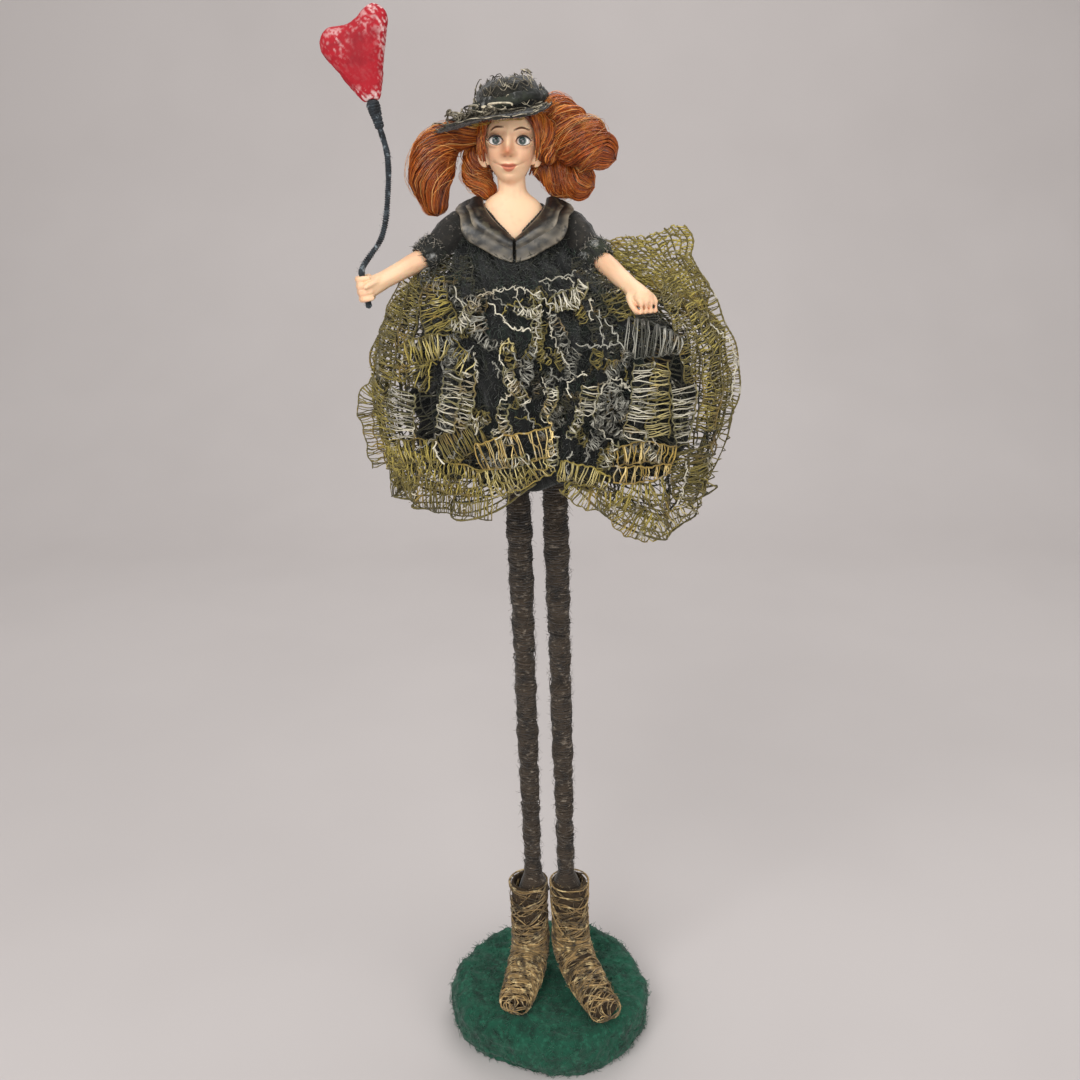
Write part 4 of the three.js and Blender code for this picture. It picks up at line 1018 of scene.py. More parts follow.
@dataclass
class Legs:
    """Two wire legs wound with wool, in boots wound with linen thread.

    Attributes:
        stance: middle of the two legs on the base, and their distance back.
        spacing: between the legs.
        lean: sideways shift for each millimetre of height.
        base_top: where the boots stand.
        hip: where the legs end.
        ankle: radius of the wool at the ankle.
        thigh: radius of the wool at the hip.
        pitch: from one turn of wool to the next.
        wrap: thickness of the wool over its core.
        tuck: how far the wool ends below the boot's top and below the hip.
        boot_height: from the base to the boot's top.
        shaft: radius of the boot's shaft.
        last: height of each of a boot's stations, and its share of the boot's reach.
        strands: of thread around a boot.
        rim: share of a boot at which its shaft's rim lies.
        shift: of each boot, sideways from its leg.
        reach: of each toe, ahead of its ankle.
        toe_out: degrees that each toe turns to the doll's left.
    """

    stance: Pair = (1.8, 4.0)
    spacing: float = 18.6
    lean: float = -0.0325
    base_top: float = 25.0
    hip: float = 366.0
    ankle: float = 4.2
    thigh: float = 6.4
    pitch: float = 1.35
    wrap: float = 0.5
    tuck: Pair = (9.0, 1.2)
    boot_height: float = 62.0
    shaft: float = 10.0
    last: tuple[Pair, ...] = ((62, 0), (34.1, 0), (18.4, 0.03), (9.9, 0.35), (7.7, 0.88))
    strands: int = 84
    rim: float = 0.062
    shift: dict[Side, float] = field(default_factory=lambda: {Side.RIGHT: -3.0, Side.LEFT: 1.6})
    reach: dict[Side, float] = field(default_factory=lambda: {Side.RIGHT: 41.0, Side.LEFT: 50.0})
    toe_out: dict[Side, float] = field(default_factory=lambda: {Side.RIGHT: -14.0, Side.LEFT: 23.0})

    def axis(self, side: Side, z: Array) -> Array:
        """Places on a leg's wire at heights z."""
        x = self.stance[0] + side.value * self.spacing / 2 + self.lean * (z - self.base_top)
        return np.stack([x, np.full_like(x, self.stance[1]), z], -1)

    def wind(self, side: Side) -> None:
        """Winds one leg with wool.

        Args:
            side: which leg.
        """
        wool = Threads(21 + side.value)
        rng = wool.rng
        foot, top = self.base_top + self.boot_height - self.tuck[0], self.hip - self.tuck[1]
        radii = [self.ankle - self.wrap, self.thigh - self.wrap]
        limb = Limb(self.axis(side, np.array([foot, top])), radii, (0, 1, 0))
        core = limb_piece(f"{side.word}_leg_core", limb, columns=60, rows=20)
        dress(core, "leg_yarn", LEG_WOOL, f"{side.word}_leg_yarn")
        turns = int((top - foot) / self.pitch)
        t = np.linspace(*WOUND, turns * 16)
        wave = np.sin(61 * t + side.value) + np.sin(143 * t) + np.sin(17 * t + 2)
        run = limb.skin(t, TAU * turns * t + 0.25 * wave, 0.2 + 0.3 * wave)
        run[:, 2] += 0.3 * np.sin(7.3 * np.pi * turns * t)
        wool.add(run[None], 0.7 + 0.16 * np.sin(211 * t)[None])
        # Ten wider turns spread the wool in the boot's top
        points = 220
        spread = 4.4 * np.linspace(1, 0, points) ** 0.8
        flare = limb.skin(np.linspace(0.008, 0.05, points), 10 * TAU * np.linspace(0, 1, points), spread)
        wool.add(flare[None], 0.95)
        # Stray ends slant over the turns
        span = 0.09
        for start in rng.uniform(0.02, 0.88, 44):
            s = np.linspace(start, start + span, 44)
            turn = rng.uniform(0, PHASE) - TAU * rng.uniform(-4, 6) * (s - start) / span
            stray = limb.skin(s, turn, 0.7 + 0.35 * np.sin(9 * s / span))
            wool.add(stray[None], rng.uniform(0.22, 0.42), sides=3)
        Nap(count=1800, length=3.2, radius=0.1, lie=1.7).grow(wool, core)
        dress(wool.piece(f"{side.word}_leg_winding"), "leg_yarn", LEG_WOOL)

    def boot(self, side: Side) -> None:
        """Makes one boot of a lining and wound thread.

        Args:
            side: which boot.
        """
        angle = math.radians(self.toe_out[side])
        ahead = np.array([math.sin(angle), -math.cos(angle), 0.0])
        reach = self.reach[side]
        points = []
        for height, forward in self.last:
            ankle = self.axis(side, np.array([self.base_top + height]))[0]
            points.append(ankle + [self.shift[side], 0, 0] + ahead * forward * reach)
        r = self.shaft
        radii = [r, r * 0.95, (r * 1.15, r), (9.2, 10.0), (6.4, 8.2)]
        limb = Limb(points, radii, (math.cos(angle), math.sin(angle), 0.0))
        lining = sculpted(f"{side.word}_boot_lining", f"{side.word}_boot_wrap", voxel=1.0, passes=4)
        nodes = (f"{side.word}_boot_wrap", f"{side.word}_foot_form")
        dress(lining, "boot_thread", BOOT_LINING, *nodes)
        thread = Threads(31 + side.value)
        rng = thread.rng
        for strand in range(self.strands):
            start = rng.uniform(0.0, 0.82) if strand > 5 else 0.16 * strand
            span = rng.uniform(0.12, 0.4)
            s = np.linspace(start, start + span, 84)
            slope = rng.uniform(0.5, 3.0 if strand % 3 else 6.0) * rng.choice([-1, 1])
            turn = rng.uniform(0, PHASE) + TAU * slope * (s - start) / span
            wob = 0.03 * np.sin(turn + rng.uniform(0, PHASE)) + 0.012 * np.sin(3 * turn + strand)
            run = limb.capped(np.clip(s + wob, self.rim, 1.0), turn, 0.1 + 0.9 * rng.random())
            run[:, 2] = np.maximum(run[:, 2], self.base_top + 0.6)
            thread.add(run[None], rng.uniform(0.22, 0.45), sides=3)
        Nap(count=1000, length=3.4, radius=0.12, lie=1.5).grow(thread, lining)
        piece = thread.piece(f"{side.word}_boot_thread")
        keep_above(piece, self.base_top + 0.3)
        dress(piece, "boot_thread", BOOT_THREAD)

    def build(self) -> None:
        """Builds both legs and boots."""
        for side in Side:
            self.wind(side)
            self.boot(side)


# Skirt


@dataclass
class Net:
    """A ladder net over a surface: cords along it and rungs across it.

    Attributes:
        place: places in millimetres for shares along and across.
        cords: rows of rungs.
        rungs: in each row.
        cord: radius of the cords.
        rung: radius of the rungs.
        edge: radius of the cords at the two edges.
        gaps: share of rungs that are missing.
        drift: how far a cord strays, as a share of a row.
        dye: of its cords and rungs.
    """

    place: Place
    cords: int
    rungs: int
    cord: float = 0.36
    rung: float = 0.3
    edge: float = 0.5
    gaps: float = 0.06
    drift: float = 0.22
    dye: Dye = Dye.OLIVE
    # How far rungs stray and lean along the net, as shares of a rung's room, and off it in millimetres
    STRAY: ClassVar[float] = 0.45
    LEAN: ClassVar[float] = 1.5
    WANDER: ClassVar[float] = 0.42
    # Share of rungs in the cords' dye, and the loose hairs of a rung
    CORD_DYED: ClassVar[float] = 0.35
    FRAY: ClassVar[float] = 0.55
    FRAY_RADIUS: ClassVar[float] = 0.09

    def row(self, k: int, s: Array) -> Array:
        """Where cord number k lies across the net, at shares along it."""
        stray = self.drift * np.sin(TAU * (3 + k % 3) * s + 1.7 * k) if 0 < k < self.cords else 0.0
        return (k + stray + 0 * s) / self.cords

    def weave(self, threads: Threads) -> None:
        """Adds the net's threads.

        Args:
            threads: what they are gathered in.
        """
        rng = threads.rng
        s = np.linspace(0, 1, self.rungs + 1)
        threads.colour = self.dye.cord
        for k in range(self.cords + 1):
            radius = self.edge if k == self.cords else self.cord
            run = self.place(s, self.row(k, s))
            threads.add(run[None], radius * (1 + 0.25 * np.sin(np.arange(len(s)) * 2.1))[None])
        share = np.linspace(0, 1, 4)
        threads.colour = self.dye.rung
        for k in range(self.cords):
            kept = rng.random(self.rungs) > self.gaps
            stray = rng.uniform(-self.STRAY, self.STRAY, self.rungs)
            root = ((np.arange(self.rungs) + 0.5 + stray) / self.rungs)[kept]
            lean = rng.uniform(-self.LEAN, self.LEAN, len(root)) / self.rungs
            along = np.clip(root[:, None] + lean[:, None] * share, 0, 1)
            across = self.row(k, along) * (1 - share) + self.row(k + 1, along) * share
            runs = self.place(along.ravel(), across.ravel()).reshape(*along.shape, 3)
            runs[:, 1:3] += rng.normal(0, self.WANDER, (len(root), 2, 3))
            corded = rng.random(len(root)) < self.CORD_DYED
            for colour, some in ((self.dye.cord, corded), (self.dye.rung, ~corded)):
                threads.colour = colour
                threads.add(runs[some], self.rung * rng.uniform(0.7, 1.3, (some.sum(), 1)), sides=3)
            start = runs[:, 1]
            hair = start + rng.normal(0, self.FRAY, start.shape)
            tip = hair + rng.normal(0, self.FRAY, start.shape)
            threads.add(np.stack([start, hair, tip], 1), self.FRAY_RADIUS, sides=3)


@dataclass
class Ruffle:
    """A gathered net band on the skirt, between two edges given as bearings and shares down.

    Attributes:
        inner: its gathered edge.
        outer: its free edge.
        stand: how far the gathered and the free edge stand off the skirt.
        lobes: waves of the free edge, and their height.
        cords: rows of rungs.
        rungs: in each row.
    """

    inner: tuple[Pair, ...]
    outer: tuple[Pair, ...]
    stand: Pair
    lobes: Pair
    cords: int
    rungs: int


@dataclass(frozen=True)
class Ladder:
    """A ladder band on the skirt's front.

    Attributes:
        middle: its middle line, across and up in millimetres.
        wide: its width at the two ends.
        dye: of its threads.
        rows: of rungs across it.
    """

    middle: Sequence[Sequence[float]]
    wide: Pair
    dye: Dye
    rows: int = 1


@dataclass(frozen=True)
class Cord:
    """A loose, frayed cord on the skirt's front.

    Attributes:
        points: across and up in millimetres.
        dye: of its threads.
        radius: of the cord.
    """

    points: Sequence[Sequence[float]]
    dye: Dye = Dye.SILVER
    radius: float = 0.3


# Ladder bands of the front, from the doll's right round to its left
LADDERS = (
    Ladder(((-49, 432), (-48, 419), (-46, 398)), (24, 20), Dye.DARK, 6),
    Ladder(((16, 434), (22, 416), (27, 394)), (17, 15), Dye.DARK, 4),
    Ladder(((-67, 422), (-74, 401), (-77, 378)), (5, 10), Dye.MOSS),
    Ladder(((-61, 423), (-65, 402), (-69, 380)), (7, 6), Dye.MOSS, 2),
    Ladder(((-53, 424), (-52, 412), (-48, 403)), (9, 16), Dye.OLIVE, 2),
    Ladder(((-66, 392), (-60, 394), (-55, 395)), (9, 10), Dye.OLIVE),
    Ladder(((-56, 395), (-49, 397), (-36, 388)), (9, 9), Dye.STRAW),
    Ladder(((-67, 377), (-69, 366), (-68, 354)), (12, 11), Dye.SILVER),
    Ladder(((-43, 388), (-45, 376), (-48, 361)), (7, 8), Dye.SILVER),
    Ladder(((-37, 388), (-38, 375), (-41, 363)), (6, 6), Dye.SILVER),
    Ladder(((-51, 350), (-41, 356), (-31, 362)), (11, 11), Dye.MOSS),
    Ladder(((-33, 350), (-20, 354), (0, 359)), (12, 12), Dye.GOLD),
    Ladder(((-32, 337), (-18, 341), (0, 349)), (13, 8), Dye.STRAW, 2),
    Ladder(((-80, 340), (-56, 339), (-31, 337)), (15, 13), Dye.OLIVE, 3),
    Ladder(((-79, 325), (-57, 326), (-28, 325)), (14, 12), Dye.MOSS),
    Ladder(((-79, 377), (-88, 366), (-86, 350), (-83, 333)), (7, 8), Dye.MOSS),
    Ladder(((-78, 371), (-79, 355), (-73, 336)), (9, 13), Dye.OLIVE, 2),
    Ladder(((-61, 389), (-59, 385), (-54, 383)), (9, 14), Dye.OLIVE, 2),
    Ladder(((-71, 346), (-61, 349), (-52, 350)), (9, 9), Dye.OLIVE),
    Ladder(((-35, 413), (-33, 404)), (6, 9), Dye.PEWTER),
    Ladder(((61, 433), (75, 406), (84, 378), (79, 354)), (4, 10), Dye.MOSS),
    Ladder(((57, 427), (68, 403), (73, 378), (70, 357)), (8, 10), Dye.OLIVE, 2),
    Ladder(((50, 424), (59, 402), (63, 380)), (8, 8), Dye.MOSS, 2),
    Ladder(((32, 401), (45, 399), (57, 396)), (16, 6), Dye.PEWTER),
    Ladder(((28, 420), (32, 408)), (14, 6), Dye.MOSS, 2),
    Ladder(((39, 391), (39, 374), (35, 358)), (9, 11), Dye.SILVER),
    Ladder(((47, 390), (46, 374), (46, 357)), (7, 11), Dye.STRAW),
    Ladder(((58, 379), (58, 366), (58, 354)), (12, 6), Dye.SILVER),
    Ladder(((24, 350), (38, 352), (54, 349)), (8, 8), Dye.GOLD),
    Ladder(((27, 343), (40, 342), (53, 343)), (8, 5), Dye.GOLD),
    Ladder(((29, 333), (40, 330), (52, 333)), (12, 11), Dye.OLIVE, 2),
    Ladder(((2, 345), (12, 343), (25, 338)), (9, 7), Dye.STRAW),
    Ladder(((4, 338), (14, 331), (26, 329)), (6, 10), Dye.OLIVE),
    Ladder(((26, 329), (36, 318), (47, 312)), (10, 14), Dye.OLIVE, 2),
    Ladder(((57, 352), (58, 337), (59, 324)), (10, 5), Dye.MOSS),
    Ladder(((68, 349), (68, 332), (63, 320)), (12, 9), Dye.MOSS),
    Ladder(((64, 319), (52, 313), (45, 309)), (10, 8), Dye.STRAW),
    Ladder(((16, 382), (14, 370)), (7, 6), Dye.SILVER),
    Ladder(((0, 415), (11, 418)), (6, 6), Dye.SILVER),
)
# Loose cords of the front
CORDS = (
    Cord(((-33, 418), (-15, 421), (3, 413))),
    Cord(((-44, 421), (-36, 408), (-33, 403))),
    Cord(((-28, 416), (-18, 406), (-10, 405))),
    Cord(((-24, 395), (-19, 401), (-17, 396)), Dye.STRAW),
    Cord(((-24, 395), (-18, 381), (-24, 374))),
    Cord(((-34, 395), (-33, 383))),
    Cord(((-14, 389), (-13, 376), (-8, 364)), Dye.PEWTER),
    Cord(((-52, 356), (-53, 351), (-49, 346)), radius=0.4),
    Cord(((-42, 366), (-34, 368), (-34, 361)), radius=0.4),
    Cord(((-51, 371), (-46, 377), (-36, 378))),
    Cord(((-2, 414), (0, 402), (8, 388))),
    Cord(((-8, 408), (-5, 398), (-6, 388)), Dye.MOSS),
    Cord(((-6, 424), (8, 424), (9, 417), (2, 413))),
    Cord(((10, 399), (20, 398), (27, 399)), Dye.PEWTER),
    Cord(((33, 380), (26, 385), (17, 371), (27, 355))),
    Cord(((-4, 375), (-1, 364), (-2, 352)), Dye.GOLD),
    Cord(((72, 403), (84, 391), (84, 367))),
    Cord(((61, 344), (60, 331), (58, 324))),
)


@dataclass(frozen=True)
class Fan:
    """A net fan that stands up behind an arm.

    Attributes:
        top: its upper edge, from the middle of the shoulders and the waist.
        reach: how far down the skirt's side its foot goes.
        rows: of rungs.
        rungs: in each row.
    """

    top: tuple[Triple, ...]
    reach: float
    rows: int
    rungs: int


FANS = {
    Side.RIGHT: Fan(((17, 9, 9), (26, 7, 12), (38, 6, 10), (47, 5, 7)), 0.22, rows=10, rungs=22),
    Side.LEFT: Fan(((18, 10, 9), (31, 9, 15), (56, 14, 16), (80, 18, 22)), 0.43, rows=22, rungs=46),
}


@dataclass
class Skirt:
    """The bubble skirt: ladder nets over a tulle petticoat, with falls of dark tulle down the front.

    Attributes:
        half_width: of the skirt at its widest.
        half_depth: of the skirt at its widest.
        waist: height of the skirt's top.
        drop: from the waist to the hem.
        folds: around the whole skirt.
        fold: depth of a fold.
        split: where the two side panels meet at the front.
        waist_x: middle of the waist.
        waist_half: half-sizes of the waist.
        middle_y: middle of the skirt, front to back.
        fall: middle, half-width, half-depth and height of the front, from the hem to the collar.
        swell: shares of the full half-width, half-depth and drop, from the waist to the hem.
        rises: height, bearing and half-width of the places where the hem rises or dips.
        fan_x: middle of the fans.
    """

    half_width: float = 86.0
    half_depth: float = 58.0
    waist: float = 423.0
    drop: float = 104.0
    folds: int = 15
    fold: float = 4.5
    split: float = 4.0
    waist_x: float = -15.2
    waist_half: Pair = (15.7, 13.2)
    middle_y: float = -1.0
    fall: tuple[tuple[float, float, float, float], ...] = (
        (0.0, 66.0, 50.0, 300.0), (0.0, 73.0, 53.5, 319.0), (0.0, 82.0, 57.0, 344.0),
        (0.0, 86.0, 57.0, 374.0), (-4.0, 82.0, 50.0, 399.0), (-11.0, 70.0, 38.0, 417.0),
        (-15.5, 46.0, 24.0, 428.0), (-16.5, 34.0, 14.0, 436.0),
    )
    swell: tuple[Triple, ...] = (
        (0, 0, 0), (0.54, 0.46, 0.06), (0.8, 0.7, 0.14), (0.95, 0.89, 0.28), (1, 1, 0.48),
        (0.98, 1, 0.67), (0.9, 0.96, 0.85), (0.83, 0.92, 1),
    )
    rises: tuple[Triple, ...] = ((22, 0, 16), (-12, 48, 24))
    fan_x: float = -17.4

    def profile(self, share: float, top: float, drop: float) -> Line:
        """Half-width, half-depth and height of a layer from the waist to the hem.

        Args:
            share: of the skirt's half-width and half-depth.
            top: height of the layer's top.
            drop: from its top to its hem.

        Returns:
            The layer's profile.
        """
        wide, deep = self.waist_half
        widen, deepen = self.half_width * share - wide, self.half_depth * share - deep
        return Line([(wide + widen * w, deep + deepen * d, top - fall * drop) for w, d, fall in self.swell])

    def outside(self) -> Line:
        """The profile of the outermost layer."""
        return self.profile(1.0, self.waist, self.drop)

    def on(
        self, profile: Line, bearing: Array, down: Array, grow: Array | float = 0.0, hem: bool = True
    ) -> Array:
        """Places on a layer.

        Args:
            profile: the layer's profile.
            bearing: degrees from the front, towards the doll's left.
            down: from 0 at the waist to 1 at the hem.
            grow: how far outside the layer.
            hem: whether the hem rises at the front and dips at the left.

        Returns:
            The places, one row each.
        """
        size = profile.at(down)
        turn = np.radians(bearing)
        wave = self.fold * ease(down, 0.1, 0.9) * np.cos(self.folds * turn + 2.2 * down) + grow
        middle = self.waist_x * (1 - ease(down, 0, 0.45))
        lift = sum(high * np.exp(-(((bearing - at) / wide) ** 2)) for high, at, wide in self.rises)
        x = middle + (size[:, 0] + wave) * np.sin(turn)
        y = self.middle_y - (size[:, 1] + wave) * np.cos(turn)
        return np.stack([x, y, size[:, 2] + (lift * down**2 if hem else 0.0)], -1)

    def band(self, side: Side, ruffle: Ruffle) -> Place:
        """The surface of a ruffle on one side of the skirt.

        Args:
            side: which half of the skirt.
            ruffle: its edges and waves.

        Returns:
            Places for shares along and across the ruffle.
        """
        inner, outer = Line(ruffle.inner), Line(ruffle.outer)
        profile = self.outside()
        waves, height = ruffle.lobes
        phase = 1.3 * waves + side.value

        def place(s: Array, t: Array) -> Array:
            at = inner.at(s) + (outer.at(s) - inner.at(s)) * t[:, None]
            lobe = np.sin(TAU * waves * s + phase)
            lobe = lobe + 0.4 * np.sin(TAU * 2.3 * waves * s + 2 * phase)
            crumple = 0.9 * np.sin(57 * s + 9 * t + phase) * np.sin(21 * t + 13 * s)
            grow = ruffle.stand[0] * (1 - t) + ruffle.stand[1] * t + height * lobe * t**1.4 + crumple
            sway = 0.5 * height * np.cos(TAU * waves * s + phase) * t / 1.4
            return self.on(profile, side.value * (at[:, 0] + sway), np.clip(at[:, 1], 0, 1), grow)

        return place

    def ruffles(self) -> tuple[tuple[Ruffle, Dye], ...]:
        """The large net bands of a side, behind the ladders of the front.

        Returns:
            The bands and their dyes.
        """
        outline = Ruffle(
            ((72, 0.05), (70, 0.3), (70, 0.55), (60, 0.76), (40, 0.86), (6, 0.86)),
            ((98, 0.05), (100, 0.35), (100, 0.68), (84, 0.97), (46, 1.0), (5, 1.0)),
            stand=(-5.0, -1.0),
            lobes=(5.0, 3.0),
            cords=4,
            rungs=118,
        )
        # The dark band under the outline is partly painted shade that fills the depth behind it
        under = Ruffle(
            ((40, 0.05), (34, 0.3), (32, 0.5), (26, 0.66), (10, 0.74)),
            ((80, 0.06), (82, 0.34), (78, 0.66), (58, 0.9), (14, 0.92)),
            stand=(-10.0, -6.0),
            lobes=(4.0, 2.5),
            cords=8,
            rungs=90,
        )
        return (outline, Dye.MOSS), (under, Dye.DARK)

    def front(self, x: Array, z: Array) -> Array:
        """Distance ahead of the skirt's front, from under the collar to the hem.

        Args:
            x: places across.
            z: places up.

        Returns:
            The front's y at each place.
        """
        middle, wide, deep, height = np.array(self.fall).T
        at = [np.interp(z, height, row) for row in (middle, wide, deep)]
        return self.middle_y - at[2] * np.sqrt(np.clip(1 - ((x - at[0]) / at[1]) ** 2, 0.03, 1))

    def lay(self, flat: Array, out: Array) -> Array:
        """Places that stand off the skirt's front.

        Args:
            flat: across and up, one row each.
            out: how far each stands off.

        Returns:
            The places, one row each.
        """
        x, z = flat.T
        return np.stack([x, self.front(x, z) - out, z], -1)

    def ladder(self, ladder: Ladder, net: Threads) -> None:
        """Weaves one ladder band of the front.

        Args:
            ladder: its middle line, widths and dye.
            net: what its threads are gathered in.
        """
        middle = Line(ladder.middle)
        phase, waves = net.rng.uniform(0, PHASE), net.rng.uniform(1.5, 3.0)
        stand = ladder.dye.stand + net.rng.uniform(-1.5, 1.5, 2)

        def place(s: Array, t: Array) -> Array:
            slope = middle.tangent(s)
            wide = (ladder.wide[0] * (1 - s) + ladder.wide[1] * s) * (1 + 0.15 * np.sin(np.pi * s))
            flat = middle.at(s) + ((t - 0.5) * wide)[:, None] * np.stack([-slope[:, 1], slope[:, 0]], -1)
            flat[:, 0] += 0.5 * np.sin(TAU * 2.3 * waves * s + phase)
            flat[:, 1] += 0.4 * np.sin(TAU * 3.1 * waves * s + 2 * phase)
            out = stand[0] * (1 - t) + stand[1] * t + 1.4 * np.sin(np.pi * t)
            return self.lay(flat, out + 1.3 * np.sin(TAU * waves * s + phase + 2 * t))

        rungs = int(middle.length() / ladder.dye.pitch) + 3
        Net(place, ladder.rows, rungs, cord=0.32, edge=0.4, gaps=0.04, dye=ladder.dye).weave(net)

    def cord(self, cord: Cord, net: Threads) -> None:
        """Lays one loose cord on the front, with its frayed ends.

        Args:
            cord: its line and dye.
            net: what its threads are gathered in.
        """
        rng = net.rng
        line = Line(cord.points)
        long = line.length()
        s = np.linspace(0, 1, int(2 * long) + 12)
        phase = rng.uniform(0, PHASE)
        flat = line.at(s)
        flat[:, 0] += 0.6 * np.sin(1.3 * long * s + phase)
        flat[:, 1] += 0.6 * np.sin(1.7 * long * s + 2 * phase)
        run = self.lay(flat, cord.dye.stand + 0.8 * np.sin(0.8 * long * s + phase))
        net.colour = cord.dye.rung
        net.add(run[None], cord.radius * rng.uniform(0.7, 1.2, (1, len(s))))
        root = run[rng.integers(2, len(s) - 2, int(0.9 * long) + 2)]
        aim = unit(rng.normal(size=root.shape) * np.array([1, 0.5, 1]))
        far = rng.uniform(0.5, 1.6, (len(root), 1))
        bend = rng.normal(0, 0.3, root.shape)
        frayed = np.stack([root, root + aim * far / 2 + bend, root + aim * far], 1)
        net.add(frayed, np.array([0.26, 0.2, 0.12]), sides=3)

    def scraps(self, side: Side, net: Threads) -> None:
        """Scatters short ladder ends and cords over the dark front.

        Args:
            side: which half of the skirt.
            net: what their threads are gathered in.
        """
        rng = net.rng
        for _ in range(74):
            x = self.split + side.value * rng.uniform(0, 56 if side is Side.RIGHT else 38)
            z = rng.uniform(352, 432)
            if abs(x + 10) < 8 and z < 386 or abs(x + 12) > 60 - 0.4 * max(0, z - 370):
                continue
            turn = rng.normal(-1.6, 0.7) + np.cumsum(rng.normal(0, 0.5, 4))
            step = rng.uniform(2.5, 6.0)
            path = np.array([x, z]) + np.cumsum(step * np.stack([np.cos(turn), np.sin(turn)], -1), axis=0)
            dye = (Dye.DARK, Dye.MOSS, Dye.PEWTER, Dye.PEWTER, Dye.SILVER)[rng.integers(5)]
            if rng.random() < 0.6:
                self.ladder(Ladder(path, tuple(rng.uniform(2.0, 4.5, 2)), dye), net)
            else:
                self.cord(Cord(path, dye, rng.uniform(0.18, 0.3)), net)

    def side_net(self, side: Side) -> Place:
        """The net from the side round towards the back.

        Args:
            side: which half of the skirt.

        Returns:
            Places for shares down and around the net.
        """
        profile = self.outside()

        def place(s: Array, t: Array) -> Array:
            bearing = side.value * (97 + 51 * t)
            return self.on(profile, bearing, 0.04 + 0.96 * s, 0.9 * np.sin(37 * t + 11 * s))

        return place

    def back_net(self, s: Array, t: Array) -> Array:
        """Places on the back panel for shares down and around it."""
        profile = self.profile(0.935, self.waist - 4.5, self.drop - 4.5)
        return self.on(profile, 140 + 80 * t, 0.04 + 0.96 * s, 0.9 * np.sin(29 * t + 13 * s), False)

    def panels(self) -> None:
        """Weaves the side panels with the ladders of the front, and the back panel."""
        for side in Side:
            net = Threads(41 + side.value)
            for ruffle, dye in self.ruffles():
                Net(self.band(side, ruffle), ruffle.cords, ruffle.rungs, rung=0.32, dye=dye).weave(net)
            Net(self.side_net(side), cords=13, rungs=76, cord=0.42, rung=0.38, edge=0.55).weave(net)
            for ladder in LADDERS:
                if (ladder.middle[0][0] > self.split) == (side is Side.LEFT):
                    self.ladder(ladder, net)
            for cord in CORDS:
                if (cord.points[0][0] > self.split) == (side is Side.LEFT):
                    self.cord(cord, net)
            self.scraps(side, net)
            piece = net.piece(f"{side.word}_skirt_net")
            dress(piece, "gauze", SKIRT_NET, f"skirt_{side.word}")
        net = Threads(44)
        Net(self.back_net, cords=19, rungs=84, cord=0.42, rung=0.38, edge=0.55).weave(net)
        piece = net.piece("back_skirt_net")
        dress(piece, "gauze", SKIRT_NET, "skirt_back")

    def petticoat(self) -> None:
        """Crumples the two halves of the tulle petticoat."""
        profile = self.profile(0.76, self.waist - 9.0, self.drop * 0.79)
        for word, first, last, count in (("front", -88.0, 88.0, 1800), ("back", 92.0, 268.0, 1200)):

            def place(u: Array, v: Array) -> Array:
                crumple = 1.4 * np.sin(46 * u + 7 * np.sin(5 * v)) + 1.0 * np.sin(31 * v + 19 * u)
                return self.on(profile, first + (last - first) * u, v, crumple * ease(v, 0, 0.2) - 1.0, False)

            half = shaped_grid(f"{word}_petticoat", 150, 60, place)
            thicken(half, 0.5)
            dress(half, "tulle", TULLE, f"petticoat_{word}")
            fluff = Nap(count, length=6.5, radius=0.15, lie=0.9)
            dress(fluff.piece(f"{word}_tulle_fluff", 51, half), "tulle", TULLE)

    def apron(self, across: Array, down: Array, back: Array) -> Array:
        """Places on the fall of dark tulle from the collar over the petticoat.

        Args:
            across: from -1 at the doll's right edge to 1 at its left edge.
            down: from 0 under the collar to 1 at its foot.
            back: how far behind the skirt's front.

        Returns:
            The places, one row each.
        """
        upper = ((-16.5, 26, 436), (-15.5, 31, 428), (-12, 40, 417))
        lower = ((-8, 45, 399), (-4, 46, 374), (-1, 40, 342))
        middle, half, height = Line(upper + lower).at(down).T
        height = height + 7.0 * across**2 * ease(-down, -0.2, 0.0)
        return self.lay(np.stack([middle + half * across, height], -1), -back)

    def frills(self) -> None:
        """Crumples the dark tulle at the front."""
        for side in Side:

            def place(u: Array, v: Array) -> Array:
                across = side.value * (0.008 + 0.992 * u)
                ridge = np.sin(TAU * (3.2 * u + 0.55 * np.sin(5.5 * v + side.value)) + 2 * v)
                crumple = 2.4 * ridge + 1.3 * np.sin(23 * v + 13 * u) + 0.8 * np.sin(47 * u + 31 * v)
                return self.apron(across, v, 4.5 + crumple * ease(v, 0.0, 0.15) * ease(u, 0.0, 0.25))

            fall = shaped_grid(f"{side.word}_front_frill", 80, 120, place)
            thicken(fall, 0.5)
            dress(fall, "dark_gauze", TULLE, f"front_frill_{side.word}")
            fluff = Nap(count=4000, length=5.5, radius=0.18, lie=1.1)
            loose = fluff.piece(f"{side.word}_frill_fluff", 55 + side.value, fall)
            dress(loose, "dark_gauze", FLUFF)

    def wings(self) -> None:
        """Weaves the fans that stand up behind the arms, their rows running down."""
        profile = self.outside()
        for side, fan in FANS.items():
            upper = Line([(self.fan_x + side.value * x, y, self.waist + z) for x, y, z in fan.top])

            def place(s: Array, t: Array) -> Array:
                bearing = np.full_like(t, side.value * 100.0)
                foot = self.on(profile, bearing, 0.03 + (fan.reach - 0.03) * t) + [side.value * 0.5, 0, 1.0]
                wave = 1.6 * np.sin(3 * np.pi * t) * np.sin(0.8 * np.pi * s) + 0.4 * np.sin(31 * t + 9 * s)
                run = upper.at(t) * (1 - s)[:, None] + foot * s[:, None]
                run[:, 0] += side.value * 2.2 * np.sin(4.5 * np.pi * s) * ease(t, 0.7, 1.0)
                run[:, 1] += wave
                run[:, 2] += 0.8 * np.sin(23 * t) * (1 - s)
                return run

